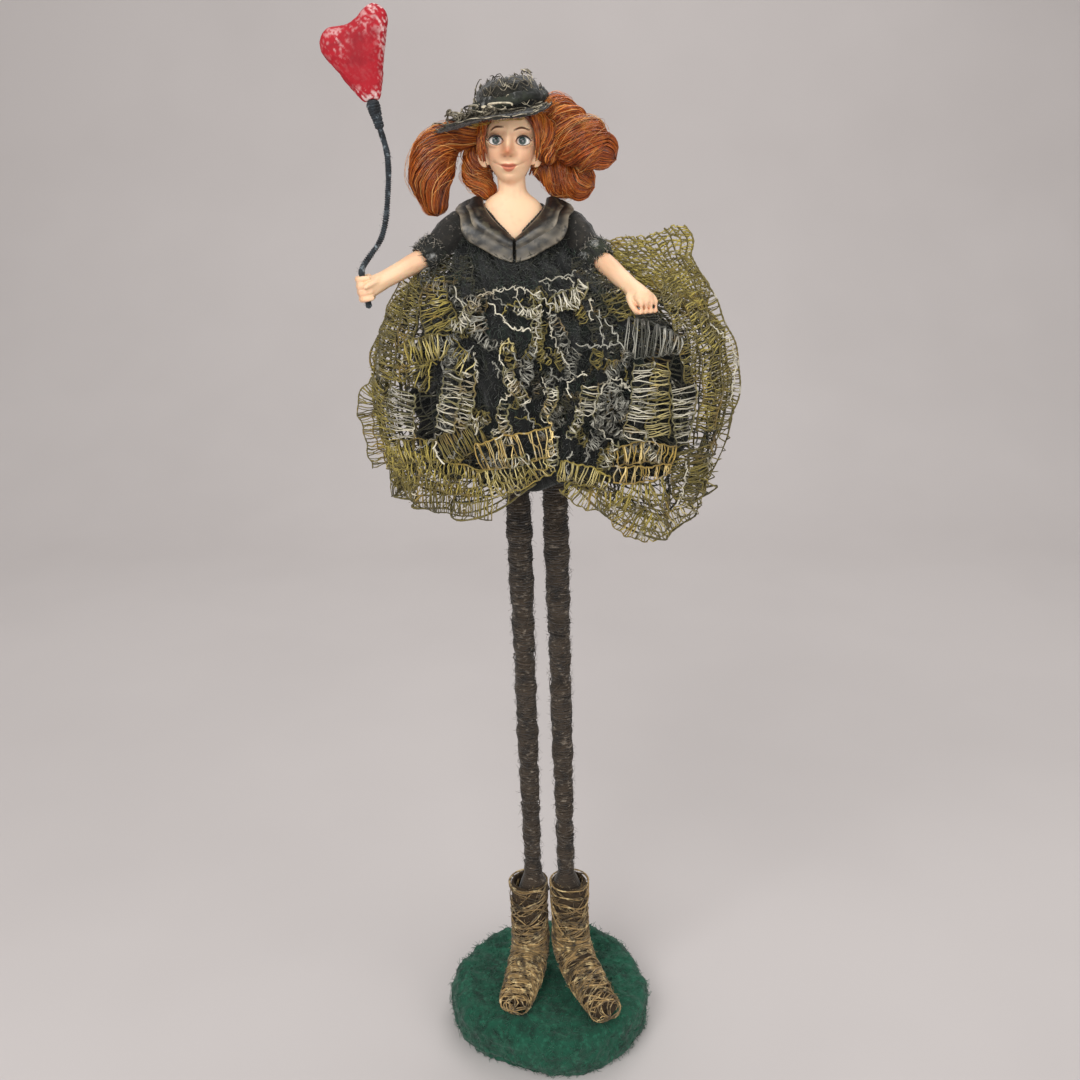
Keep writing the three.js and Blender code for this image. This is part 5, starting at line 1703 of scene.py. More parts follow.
            net = Threads(71 + side.value)
            Net(place, fan.rows, fan.rungs, cord=0.42, rung=0.42, drift=0.1).weave(net)
            piece = net.piece(f"{side.word}_skirt_wing")
            dress(piece, "gauze", SKIRT_NET, f"skirt_{side.word}_wing")

    def build(self) -> None:
        """Builds every layer of the skirt."""
        self.panels()
        self.petticoat()
        self.frills()
        self.wings()


# Bodice, collar and arms


@dataclass
class Bodice:
    """The black bodice with its satin collar.

    Attributes:
        shoulder: middle of the shoulders, across and up.
        inner: the lapels' edge at the neck, from the middle of the shoulders.
        outer: their free edge.
    """

    shoulder: Pair = (-17.38, 444.0)
    inner: tuple[Triple, ...] = (
        (14.8, 1.5, 12.6), (13.2, -7.4, 8.3), (7.3, -12.9, 1.5), (0.6, -14.6, -4.0),
    )
    outer: tuple[Triple, ...] = (
        (26.0, 1.5, 10.8), (25.5, -10.5, 5.5), (18.0, -18.0, -6.0), (0.7, -18.8, -13.0),
    )

    def edge(self, side: Side, points: Sequence[Triple]) -> Line:
        """One edge of a lapel.

        Args:
            side: which lapel.
            points: its places from the middle of the shoulders.

        Returns:
            The edge as a line.
        """
        x, z = self.shoulder
        return Line([(x + side.value * a, b, z + c) for a, b, c in points])

    def leaf(self, side: Side, name: str, reach: float, lift: float) -> Piece:
        """One leaf of the collar, its edges rubbed with silver, with a band along its roll that is partly
        rubbed silver and partly painted highlight.

        Args:
            side: which lapel.
            name: the piece's name.
            reach: how far it goes from the neck to the lapel's free edge.
            lift: how far it stands off.

        Returns:
            The leaf.
        """
        inner, outer = self.edge(side, self.inner), self.edge(side, self.outer)

        def place(u: Array, v: Array) -> Array:
            scallop = 1 - 0.07 * np.cos(TAU * 2.5 * u + 1)
            run = inner.at(u) + (outer.at(u) - inner.at(u)) * (v * reach * scallop)[:, None]
            crease = 0.7 * np.sin(TAU * (0.8 * v + 1.1 * u)) * v + 0.2 * np.sin(11 * u + 4 * v)
            return run + np.array([0, -1, 0.6]) * (1.6 * np.sin(np.pi * v) + crease + lift)[:, None]

        leaf = shaped_grid(name, 70, 26, place)
        flat = np.empty(len(leaf.data.loops) * 2)
        leaf.data.uv_layers[0].data.foreach_get("uv", flat)
        corner = np.empty(len(leaf.data.loops), int)
        leaf.data.loops.foreach_get("vertex_index", corner)
        share = np.zeros((len(leaf.data.vertices), 2))
        share[corner] = flat.reshape(-1, 2)
        u, v = share.T
        streak = 0.5 + 0.5 * np.sin(31 * u + 9 * v) * np.sin(17 * u + 3)
        rub_and_highlight = ease(v, 0.7, 1.0) * (0.3 + 0.7 * streak) + 0.6 * ease(-v, -0.08, 0.0)
        # A band along the roll of the leaf: partly silver rubbed on, partly a painted highlight
        rub_and_highlight += 0.5 * np.exp(-(((v - 0.5 - 0.2 * u) / 0.14) ** 2)) * streak * ease(u, 0.2, 0.6)
        dark = plain(SATIN.colour, len(u))
        paint(leaf, brushed(dark, "#b7aa94", 0.65 * rub_and_highlight))
        thicken(leaf, 0.9)
        return smooth(leaf)

    def build(self) -> None:
        """Models the bodice and the leaves of its collar."""
        cloth = sculpted("bodice_cloth", "bodice", voxel=1.0, passes=4)
        lumps(cloth, size=7, height=0.8)
        dress(cloth, "dark_cloth", JERSEY, "bodice", "torso_core")
        for side in Side:
            under = self.leaf(side, f"{side.word}_under_lapel", reach=1.0, lift=-0.4)
            dress(under, "satin", SATIN, f"{side.word}_lapel")
            over = self.leaf(side, f"{side.word}_over_lapel", reach=0.62, lift=0.9)
            dress(over, "satin", SATIN)


@dataclass
class Arm:
    """A jersey sleeve with a crumpled net cuff, and a clay hand.

    Attributes:
        side: which arm.
        elbow: the sleeve's end.
        aim: along the forearm.
        length: from the elbow to the middle of the palm.
    """

    side: Side
    elbow: Triple
    aim: Triple
    length: float

    def build(self) -> None:
        """Models the sleeve, the cuff and the hand."""
        word, body = self.side.word, self.side.arm
        sleeve = sculpted(f"{word}_sleeve_cloth", f"{word}_sleeve", voxel=0.6, passes=6)
        lumps(sleeve, size=4.5, height=1.0)
        dress(sleeve, "dark_cloth", JERSEY, f"{word}_sleeve", body=body)
        cuff = sculpted(f"{word}_cuff_net", f"{word}_cuff", voxel=0.5, passes=3)
        lumps(cuff, size=2.2, height=1.2)
        dress(cuff, "dark_gauze", DARK_NET, f"{word}_cuff", body=body)
        threads = Nap(count=520, length=1.8, radius=0.14, lie=1.6)
        flecks = Nap(count=260, length=1.5, radius=0.13, lie=2.2)
        for kind, nap, seed, finish in (("threads", threads, 81, DARK_NET), ("flecks", flecks, 84, LUREX)):
            loose = nap.piece(f"{word}_cuff_{kind}", seed + self.side.value, cuff)
            dress(loose, "dark_gauze", finish, body=body)
        hand = sculpted(f"{word}_clay_hand", f"{word}_hand", voxel=0.42, passes=6, rounded=1)
        points = points_of(hand)
        along = (points - np.array(self.elbow)) @ unit(np.array(self.aim)) - self.length
        skin = plain(CLAY.colour, len(points))
        skin = brushed(skin, "#e3a07c", 0.35 * ease(along, 0.0, 8.0))
        # Painted shade where the forearm goes under the cuff
        paint(hand, brushed(skin, "#d99a74", 0.3 * ease(-along, 14.0, 22.0)))
        dress(hand, "clay", CLAY, f"{word}_hand", body=body)


# Head

# Middle and half-sizes of the skull
SKULL = (-19.12, -2.0, 481.25)
SKULL_HALF = (12.25, 13.5, 18.5)


def ball(turn: Array, rise: Array) -> Array:
    """Places on a ball of radius one, for turns from its front and rises from its middle, in radians."""
    return np.stack([np.cos(rise) * np.sin(turn), -np.cos(rise) * np.cos(turn), np.sin(rise)], -1)


@dataclass
class Head:
    """The clay head with its neck and chest, glazed eyes and painted face.

    Attributes:
        eyes: centres of the eyeballs, across and up, by side.
        eye_y: distance of the eyeballs ahead.
        eye: radius of an eyeball.
        mouth: middle of the mouth, across and up.
        nose: tip of the nose, across and up.
        ears: middles of the ears, by side.
        ear_half: half-sizes of an ear.
        open_wide: half-width of the opening between the lids.
        open_up: height of the upper lid's edge over the eye's middle.
        open_down: depth of the lower lid's edge under it.
        neck_cut: height at which the skull takes over from the solid's neck.
        brows: lines of the brows, across and up.
    """

    eyes: dict[Side, Pair] = field(
        default_factory=lambda: {Side.RIGHT: (-25.3, 481.9), Side.LEFT: (-13.2, 481.7)}
    )
    eye_y: float = -11.38
    eye: float = 3.4
    mouth: Pair = (-19.7, 471.2)
    nose: Pair = (-20.0, 477.5)
    ears: dict[Side, Triple] = field(
        default_factory=lambda: {Side.RIGHT: (-31.4, -4.2, 474.3), Side.LEFT: (-6.9, -4.2, 474.3)}
    )
    ear_half: Triple = (2.5, 1.5, 3.9)
    open_wide: float = 3.3
    open_up: float = 2.1
    open_down: float = 1.6
    neck_cut: float = 468.0
    brows: tuple[tuple[Pair, ...], ...] = (
        ((-27.6, 486.2), (-25.2, 487.6), (-21.6, 487.6)),
        ((-17.4, 486.2), (-14.0, 487.3), (-10.2, 486.3)),
    )

    def skull(self, u: Array, v: Array) -> Array:
        """Places on the skull for shares around and up it."""
        x, y, z = ball(TAU * u, np.pi * (v - 0.5)).T
        jaw = np.maximum(0, -z)
        narrow = 1 - 0.28 * jaw**1.5
        shape = np.stack([x * narrow, y * narrow - 0.08 * jaw * (1 - y), z], -1)
        return np.array(SKULL) + shape * np.array(SKULL_HALF)

    def ear(self, side: Side) -> Piece:
        """A small flat ear.

        Args:
            side: which ear.

        Returns:
            The ear.
        """
        wide, deep, high = self.ear_half

        def place(u: Array, v: Array) -> Array:
            cup = ball(TAU * u, np.pi * (v - 0.5)) * np.array([wide, -deep, high])
            cup[:, 1] += 0.5 * side.value * cup[:, 0]
            cup[:, 0] += 0.22 * side.value * cup[:, 2]
            return np.array(self.ears[side]) + cup

        return shaped_grid(f"{side.word}_ear", 16, 12, place, True)

    def opening(self, side: Side, x: Array, z: Array) -> Array:
        """How far places lie outside the opening between a pair of lids, in millimetres."""
        across, up = x - self.eyes[side][0], z - self.eyes[side][1]
        arch = np.clip(1 - (across / self.open_wide) ** 2, 0, 1) ** 0.7
        edges = [up - self.open_up * arch, -self.open_down * arch - up, np.abs(across) - self.open_wide]
        return np.maximum.reduce(edges)

    def ball_y(self, side: Side, x: Array, z: Array, grow: float) -> Array:
        """Distance ahead of an eyeball's front, grown a little."""
        across, up = x - self.eyes[side][0], z - self.eyes[side][1]
        return self.eye_y - np.sqrt(np.clip((self.eye + grow) ** 2 - across**2 - up**2, 0, None))

    def lip_line(self, x: Array) -> Array:
        """Height of the line between the lips, which rises to its corners."""
        return self.mouth[1] + 0.04 * (x - self.mouth[0]) ** 2

    def model_face(self, points: Array) -> Array:
        """Presses and pulls the features out of the smooth clay.

        Args:
            points: the head's vertices.

        Returns:
            Their new places.
        """
        x, y, z = points.T
        front = ease(-y, 2.0, 9.0) * ease(z, 461.0, 464.0)
        (mx, mz), (nx, nz) = self.mouth, self.nose
        line = self.lip_line(x)
        out = 1.9 * bump(x, z, (nx + 0.1, nz + 5.0), (1.7, 5.0))
        out += 3.1 * bump(x, z, (nx, nz + 0.1), (2.2, 2.4))
        out += sum(1.2 * bump(x, z, (nx + wing, nz - 0.7), (1.4, 1.2)) for wing in (-2.5, 2.5))
        out -= sum(0.5 * bump(x, z, (nx + hole, nz - 1.9), (0.6, 0.4)) for hole in (-1.3, 1.3))
        upper_lip = 1.0 * bump(x, line + 0.9 - z, (mx, 0), (3.0, 0.75))
        out += upper_lip + 1.1 * bump(x, line - 1.1 - z, (mx, 0), (2.6, 0.85))
        out -= 0.8 * bump(x, line - z, (mx, 0), (5.6, 0.3))
        out -= 0.4 * bump(x, z, (mx, mz - 3.0), (3.0, 0.8))
        out += 0.9 * bump(x, z, (mx, 465.4), (3.2, 2.2))
        for side in Side:
            ex, ez = self.eyes[side]
            out += 1.1 * bump(x, z, (ex + 0.6 * side.value, 475.0), (3.8, 3.0))
            out += 0.5 * bump(x, z, (ex, ez + 5.2), (4.2, 1.5))
            out -= 0.8 * bump(x, z, (ex - 0.4 * side.value, ez + 3.4), (4.0, 1.1))
            out -= 0.5 * bump(x, z, (mx + 6.2 * side.value, mz + 1.3), (0.9, 0.9))
        y = y - out * front
        for side in Side:
            gap = self.opening(side, x, z)
            near = front * ease(-gap, -1.9, -0.7)
            lid = np.minimum(y, self.ball_y(side, x, z, 0.5))
            by_eye = np.hypot(x - self.eyes[side][0], z - self.eyes[side][1]) < 5.0
            y = np.where(by_eye, y + (lid - y) * near, y)
            hole = front * ease(-gap, -0.1, 0.15)
            y = np.where(gap < 0.1, y + (self.eye_y - 1.2 - y) * hole, y)
        return np.stack([x, y, z], -1)

    def blush(self, points: Array) -> Array:
        """Colours of the face: chalk blush and lip paint, with painted shade about the eyes, on the sides of
        the nose, in the nostrils and in the smile creases.

        Args:
            points: the head's vertices.

        Returns:
            A linear colour for each.
        """
        x, y, z = points.T
        front = ease(-y, 2.0, 8.0)
        (mx, mz), (nx, nz) = self.mouth, self.nose
        line = self.lip_line(x)
        skin = plain(CLAY.colour, len(points))
        for side in Side:
            ex, ez = self.eyes[side]
            cheek = bump(x, z, (ex + 1.2 * side.value, 475.6), (4.2, 3.4))
            skin = brushed(skin, "#e0906e", 0.4 * front * cheek)
            # Painted shade in the lid crease above each eye, under the eye, and round the rim of its opening
            skin = brushed(skin, "#c08a68", 0.6 * front * bump(x, z, (ex, ez + 3.0), (4.4, 1.5)))
            skin = brushed(skin, "#c98d70", 0.45 * front * bump(x, z, (ex, ez - 2.6), (3.8, 0.9)))
            rim = self.opening(side, x, z)
            skin = brushed(skin, "#a8624c", 0.7 * front * ease(-rim, -0.5, -0.1) * (np.abs(rim) < 1))
        skin = brushed(skin, "#c8764e", 0.85 * front * bump(x, z, (nx, nz - 0.1), (3.2, 2.3)))
        # Painted shade on the sides of the nose and in the nostrils
        for flank in (-2.0, 2.2):
            skin = brushed(skin, "#c07c54", 0.6 * front * bump(x, z, (nx + flank, nz + 3.4), (1.1, 3.4)))
        for hole in (-1.3, 1.3):
            skin = brushed(skin, "#8a4634", 0.7 * front * bump(x, z, (nx + hole, nz - 2.0), (0.7, 0.4)))
        up = 1.6 * (1 - np.clip(np.abs(x - mx) / 4.0, 0, 1) ** 2.0) - 0.4 * np.exp(-(((x - mx) / 0.9) ** 2))
        low = 2.3 * (1 - np.clip(np.abs(x - mx) / 3.4, 0, 1) ** 2.2)
        lips = ease(up - (z - line), -0.15, 0.3) * ease(low - (line - z), -0.15, 0.3) * (np.abs(x - mx) < 4.6)
        skin = brushed(skin, "#cc6a50", 0.85 * front * lips)
        # A painted line between the lips, carried on as painted shade in the smile creases
        skin = brushed(skin, "#8f4433", 0.8 * front * bump(x, z - line, (mx, 0), (6.0, 0.26)))
        return brushed(skin, "#e2a583", 0.4 * front * bump(x, z, (mx, 465.0), (3.4, 1.8)))

    def clay(self) -> Piece:
        """The head, neck and chest in one piece of clay.

        Returns:
            The piece.
        """
        chest = copy_of("chest", "clay_bust")
        bpy.ops.object.mode_set(mode="EDIT")
        bpy.ops.mesh.select_all(action="SELECT")
        cut = (0, 0, self.neck_cut * MM)
        bpy.ops.mesh.bisect(plane_co=cut, plane_no=(0, 0, 1), use_fill=True, clear_outer=True)
        bpy.ops.object.mode_set(mode="OBJECT")
        apply_modifier(chest, "SUBSURF", {"levels": 2})
        skull = shaped_grid("clay_head", 96, 64, self.skull, True)
        ears = [self.ear(side) for side in Side]
        only(skull)
        for piece in (chest, *ears):
            piece.select_set(True)
        bpy.ops.object.join()
        soften(skull, voxel=0.4, passes=10)
        move_to(skull, self.model_face(points_of(skull)))
        apply_modifier(skull, "SMOOTH", {"factor": 0.4, "iterations": 2})
        return smooth(skull)

    def eyeball(self, side: Side) -> Piece:
        """A painted eyeball.

        Args:
            side: which eye.

        Returns:
            The eyeball.
        """
        x, z = self.eyes[side]
        bpy.ops.object.select_all(action="DESELECT")
        bpy.ops.mesh.primitive_uv_sphere_add(
            segments=64, ring_count=64, radius=self.eye * MM, location=(x * MM, self.eye_y * MM, z * MM)
        )
        ball = bpy.context.active_object
        ball.name = f"{side.word}_glazed_eye"
        bpy.ops.object.transform_apply(location=True, rotation=False, scale=False)
        points = points_of(ball)
        look = np.hypot(points[:, 0] - x - (0.1 if side is Side.RIGHT else -0.3), points[:, 2] - z - 0.25)
        ahead = ease(self.eye_y - points[:, 1], 0.2, 0.8)
        white = plain(EYE.colour, len(points))
        # The whites darken to pinkish brown at the corners: painted shade under the lids
        white = brushed(white, "#d9b5a4", 0.5 * ease(np.abs(points[:, 0] - x), 2.2, 3.3))
        iris = brushed(white, "#1e2a29", ahead * ease(-look, -1.8, -1.55))
        iris = brushed(iris, "#425b58", ahead * ease(-look, -1.45, -1.2) * 0.9)
        paint(ball, brushed(iris, "#0b0a0a", ahead * ease(-look, -1.05, -0.85)))
        return smooth(ball)

    def lines(self, skin: Piece) -> None:
        """Paints the lash lines and the brows.

        Args:
            skin: the modelled head.
        """
        points = points_of(skin)
        points = points[(points[:, 1] < -4) & (points[:, 2] > 470)]

        def on_skin(x: Array, z: Array) -> Array:
            across, up = points[None, :, 0] - x[:, None], points[None, :, 2] - z[:, None]
            near = (across**2 + up**2).argmin(axis=1)
            return np.stack([x, points[near, 1] - 0.08, z], -1)

        lashes, brows = Threads(91), Threads(92)
        taper = np.sin(np.pi * np.linspace(0.06, 0.97, 30)) ** 0.6
        for side in Side:
            ex, ez = self.eyes[side]
            s = np.linspace(-1.0, 1.12, 30) * side.value
            arch = np.clip(1 - np.clip(s, -1, 1) ** 2, 0, 1) ** 0.7
            x = ex + self.open_wide * s
            z = ez + self.open_up * arch + 0.1 + 0.9 * np.clip(np.abs(s) - 1, 0, 1) * (s * side.value > 0)
            run = np.stack([x, self.ball_y(side, x, z, 0.62), z], -1)
            run[:, 1] = np.minimum(run[:, 1], on_skin(x, z)[:, 1])
            lashes.add(run[None], 0.42 * taper[None], sides=6)
            for k in np.linspace(-0.75, 1.05, 13) * side.value:
                rise = self.open_up * max(0, 1 - k * k) ** 0.7
                root = np.array([ex + self.open_wide * k, 0, ez + rise + 0.15])
                root[1] = self.ball_y(side, root[0], root[2], 0.6)
                tip = root + np.array([0.5 * k + 0.25 * side.value, -0.75, 0.75])
                middle = (root + tip) / 2 + np.array([0, -0.2, -0.1])
                lashes.add(np.stack([root, middle, tip])[None], np.array([[0.12, 0.1, 0.04]]), sides=4)
            low = ez - self.open_down * arch - 0.1
            edge = np.stack([x, self.ball_y(side, x, low, 0.5), low], -1)[3:-3]
            edge[:, 1] = np.minimum(edge[:, 1], on_skin(x, low)[3:-3, 1])
            lashes.add(edge[None], 0.1, sides=4)
        for brow in self.brows:
            flat = Line(brow).at(np.linspace(0, 1, 30))
            for shift in np.linspace(-0.28, 0.28, 3):
                brows.add(on_skin(flat[:, 0], flat[:, 1] + shift)[None], 0.15 * taper[None], sides=5)
        dress(lashes.piece("lash_lines"), "clay", LASH)
        dress(brows.piece("brow_lines"), "clay", BROW)

    def build(self) -> None:
        """Models the head and paints it."""
        skin = self.clay()
        paint(skin, self.blush(points_of(skin)))
        dress(skin, "clay", CLAY, "clay_bust")
        for side in Side:
            dress(self.eyeball(side), "eye", EYE, f"{side.word}_eye")
        self.lines(skin)


@dataclass
class Hair:
    """Curled mohair: a cap of strands and six ringlets.

    Attributes:
        fullest: radius of the fullest curl.
        strands: in each ringlet.
        lift: of the cap's strands off the skull.
    """

    fullest: float = 11.5
    strands: int = 340
    lift: float = 2.3

    def curls(self) -> dict[str, Limb]:
        """The ringlets by node.

        Places are in half-sizes of the skull from its middle, and sizes are shares of the fullest curl.

        Returns:
            Their lines and sizes.
        """
        spec = {
            "curl_right_long": (
                [
                    (-1.35, 0.35, 0.22),
                    (-2.2, 0.3, 0.1),
                    (-2.8, 0.2, -0.3),
                    (-3, 0.2, -0.85),
                    (-2.85, 0.2, -1.45),
                ],
                [0.435, 0.609, 0.835, 0.887, 0.478],
            ),
            "curl_left_big": (
                [(1.65, 0.2, 0.1), (2.3, 0, 0.02), (2.9, -0.1, -0.08), (3.35, -0.1, -0.22)],
                [0.609, 0.939, 1, 0.696],
            ),
            "curl_left_low": (
                [(1.3, 0.55, -0.5), (1.95, 0.5, -0.78), (2.6, 0.4, -0.92)],
                [0.565, 0.8, 0.652],
            ),
            "curl_left_top": (
                [(0.85, 0.35, 0.72), (1.6, 0.4, 0.7), (2.35, 0.35, 0.5)],
                [0.478, 0.652, 0.522],
            ),
            "curl_left_front": (
                [(0.95, -0.15, 0.5), (1.3, -0.15, 0.16), (1.35, -0.05, -0.3)],
                [0.348, 0.478, 0.391],
            ),
            "curl_right_inner": (
                [(-1.3, 0.4, -0.3), (-1.3, 0.45, -0.7), (-0.95, 0.45, -1.12)],
                [0.435, 0.574, 0.391],
            ),
        }
        curls = {}
        for node, (path, fullness) in spec.items():
            points = [np.array(SKULL) + np.array(p) * np.array(SKULL_HALF) for p in path]
            curls[node] = Limb(points, [self.fullest * share for share in fullness], (0, 1, 0))
        return curls

    def ringlet(self, node: str, limb: Limb, seed: int) -> None:
        """Winds the strands of one ringlet.

        Args:
            node: the node it stands for.
            limb: its line and sizes.
            seed: of its strands.
        """
        core = limb_piece(f"{node}_core", limb, columns=60, rows=36, grow=-0.9)
        paint(core, plain(SHADES[0], len(core.data.vertices)))
        dress(core, "hair", HAIR, node)
        hair = Threads(seed)
        rng = hair.rng
        u = np.concatenate([np.linspace(0, 0.06, 6), np.linspace(0.1, 0.9, 11), np.linspace(0.94, 1, 6)])
        twist = 0.45 * (1 if seed % 2 else -1)
        for k in range(self.strands):
            phase = TAU * k / self.strands + rng.normal(0, 0.04)
            lock = 0.45 * np.sin(4 * phase + 1) + 0.25 * np.sin(9 * phase + 2)
            turn = phase + TAU * twist * u + rng.normal(0, 0.08) * np.sin(TAU * u)
            swell = lock - 0.2 + rng.normal(0, 0.4) + 0.3 * np.sin(5 * np.pi * u + 3 * phase)
            hair.colour = SHADES[rng.choice(len(SHADES), p=SHADE_SHARES)]
            hair.add(limb.capped(u, turn, swell)[None], rng.uniform(0.12, 0.24), sides=3)
        for _ in range(60):
            # Loose strands take the paler shades, partly painted highlight
            hair.colour = SHADES[rng.integers(2, 6)]
            start = rng.uniform(0.1, 0.7)
            s = np.linspace(start, start + 0.28, 18)
            turn = rng.uniform(0, PHASE) + TAU * twist * s
            turn = turn + rng.choice([-1, 1]) * np.linspace(0, 0.9, 18)
            arc = 0.5 + 1.3 * np.sin(np.linspace(0, np.pi, 18))
            hair.add(limb.skin(s, turn, arc)[None], 0.07, sides=3)
        dress(hair.piece(f"{node}_strands"), "hair", HAIR)

    def cap(self) -> None:
        """Lays the strands over the skull, from the crown down to the ringlets."""
        core = sculpted("hair_cap_core", "hair_cap", voxel=0.6, passes=6)
        paint(core, plain(SHADES[0], len(core.data.vertices)))
        dress(core, "hair", HAIR, "hair_cap")
        hair = Threads(108)
        rng = hair.rng
        half = np.array(SKULL_HALF) + self.lift
        spans = ((62, 298, 300), (50, 66, 24), (294, 308, 24))
        for bearing in np.concatenate([np.linspace(*span) for span in spans]):
            low = -0.55 if 100 < bearing < 260 else -0.2
            rise = np.linspace(1.1, low + rng.uniform(-0.2, 0.15), 18)
            turn = np.radians(bearing + rng.normal(0, 1.5) + 5 * np.sin(4 * rise + bearing))
            grow = 1 + 0.02 * np.sin(9 * rise + bearing) + rng.uniform(0.0, 0.03)
            skin = ball(-turn, rise)
            hair.colour = SHADES[rng.choice(len(SHADES), p=SHADE_SHARES)]
            hair.add((np.array(SKULL) + skin * half * grow[:, None])[None], rng.uniform(0.18, 0.32), sides=3)
        dress(hair.piece("hair_cap_strands"), "hair", HAIR)

    def build(self) -> None:
        """Lays all the hair."""
        self.cap()
        for seed, (node, limb) in enumerate(self.curls().items(), start=101):
            self.ringlet(node, limb, seed)


@dataclass
class Hat:
    """A crushed felt hat with a slanting brim, a net band and loose threads.

    Attributes:
        place: middle of the brim.
        tilt: its slopes about X and Y, in radians.
        crown: radius of the crown at the brim.
        brim: radius of the brim.
        height: of the crown.
    """

    place: Triple = (-18.63, -0.65, 493.46)
    tilt: Pair = (0.02, -0.2)
    crown: float = 14.41
    brim: float = 24.0
    height: float = 15.0

    def world(self, local: Array) -> Array:
        """Places of the hat's own frame in the part's frame."""
        a, b = self.tilt
        about_x = np.array([[1, 0, 0], [0, math.cos(a), -math.sin(a)], [0, math.sin(a), math.cos(a)]])
        about_y = np.array([[math.cos(b), 0, math.sin(b)], [0, 1, 0], [-math.sin(b), 0, math.cos(b)]])
        return local @ (about_x @ about_y).T + np.array(self.place)

    def on_brim(self, turn: Array, share: Array, up: Array | float = 0.0) -> Array:
        """Places on the brim for turns around it and shares from the crown out."""
        reach = self.crown + (self.brim - self.crown) * share
        x = reach * np.cos(turn) * (1 + 0.34 * share * (0.35 - np.cos(turn)))
        y = reach * np.sin(turn) * (1 + 0.1 * share)
        z = share * (1.4 * np.cos(3 * turn + 0.6) - 0.8) + up
        return self.world(np.stack([x, y, z], -1))

    def build(self) -> None:
        """Models the felt, the band and the loose threads."""
        nap = Nap(count=500, length=1.8, radius=0.09, lie=1.3)
        for node, name, dents in (("hat_crown", "crushed_crown", 1.6), ("hat_brim", "felt_brim", 0.9)):
            felt = sculpted(name, node, voxel=0.5, passes=5)
            lumps(felt, size=6, height=dents)
            lumps(felt, size=1.8, height=0.5)
            dress(felt, "hat_felt", HAT_FELT, node)
            dress(nap.piece(f"{name}_nap", 111, felt), "hat_felt", HAT_FELT)
        band = sculpted("net_band", "hat_band", voxel=0.5, passes=4)
        lumps(band, size=2.4, height=1.4)
        dress(band, "dark_gauze", DARK_NET, "hat_band")
        self.trim()

    def trim(self) -> None:
        """Adds the ruffle, the loose curled threads and the tinsel."""
        loose = Threads(112)
        rng = loose.rng
        turn, s = np.linspace(0, TAU, 160), np.linspace(0, 1, 24)
        for share in (0.95, 1.0):
            fray = 0.04 * np.sin(13 * turn + 9 * share) * np.sin(29 * turn)
            loose.add(self.on_brim(turn, share + fray, 0.4 + 0.3 * np.sin(17 * turn))[None], 0.16)
        for _ in range(46):
            start = rng.uniform(0, TAU)
            around = start + rng.uniform(-0.6, 0.6) * s + 0.16 * np.sin(rng.uniform(6, 14) * s)
            out = rng.uniform(-0.1, 0.8) + rng.uniform(-0.4, 0.5) * s + 0.1 * np.cos(11 * s)
            out = np.clip(out, -0.05, 1.05)
            rise = 0.8 + rng.uniform(0.5, 3.5) * np.sin(np.pi * s) * rng.random()
            loose.add(self.on_brim(around, out, rise)[None], rng.uniform(0.14, 0.28))
        for _ in range(60):
            around = rng.uniform(0, TAU) + rng.uniform(-1.2, 1.2) * s
            level = rng.uniform(0.1, 1.0) + rng.uniform(-0.4, 0.4) * s + 0.08 * np.sin(14 * s)
            level = np.clip(level, 0, 1.04)
            wide = self.crown * 1.05 * np.cos(np.clip(level - 0.35, 0, 1) * 1.5) ** 0.6 + 0.6
            local = np.stack([wide * np.cos(around), wide * np.sin(around), 1 + self.height * level], -1)
            loose.add(self.world(local)[None], rng.uniform(0.14, 0.26))
        for _ in range(16):
            around = np.pi * rng.uniform(0.85, 1.4) + rng.uniform(-0.5, 0.5) * s + 0.1 * np.sin(9 * s)
            out = rng.uniform(0.3, 0.9) + rng.uniform(-0.2, 0.35) * s
            rise = 1.0 + rng.uniform(2.5, 7.0) * np.sin(0.75 * np.pi * s)
            loose.add(self.on_brim(around, np.clip(out, 0, 1.12), rise)[None], rng.uniform(0.25, 0.45))
        dress(loose.piece("hat_threads"), "dark_gauze", HAT_THREAD)
        ruffle = Threads(113)

        def place(s: Array, t: Array) -> Array:
            around = np.pi * (0.62 + 0.86 * s)
            wave = np.sin(TAU * 7 * s)
            return self.on_brim(around, 0.1 + 0.55 * t + 0.1 * wave * t, 1.2 + 3.5 * t * (0.7 + 0.3 * wave))

        Net(place, cords=3, rungs=60, cord=0.26, rung=0.18, edge=0.32).weave(ruffle)
        dress(ruffle.piece("hat_ruffle"), "dark_gauze", HAT_THREAD)
        gold = Threads(114)
        rng = gold.rng
        for _ in range(26):
            around = np.pi * 1.5 + rng.uniform(-0.75, 0.35) + np.linspace(0, 0.16, 6) * rng.choice([-1, 1])
            out = rng.uniform(0.05, 0.7) + 0.1 * np.sin(np.linspace(0, 5, 6))
            gold.add(self.on_brim(around, out, -1.6 - rng.random())[None], 0.12, sides=3)
        dress(gold.piece("hat_tinsel"), "dark_gauze", TINSEL)


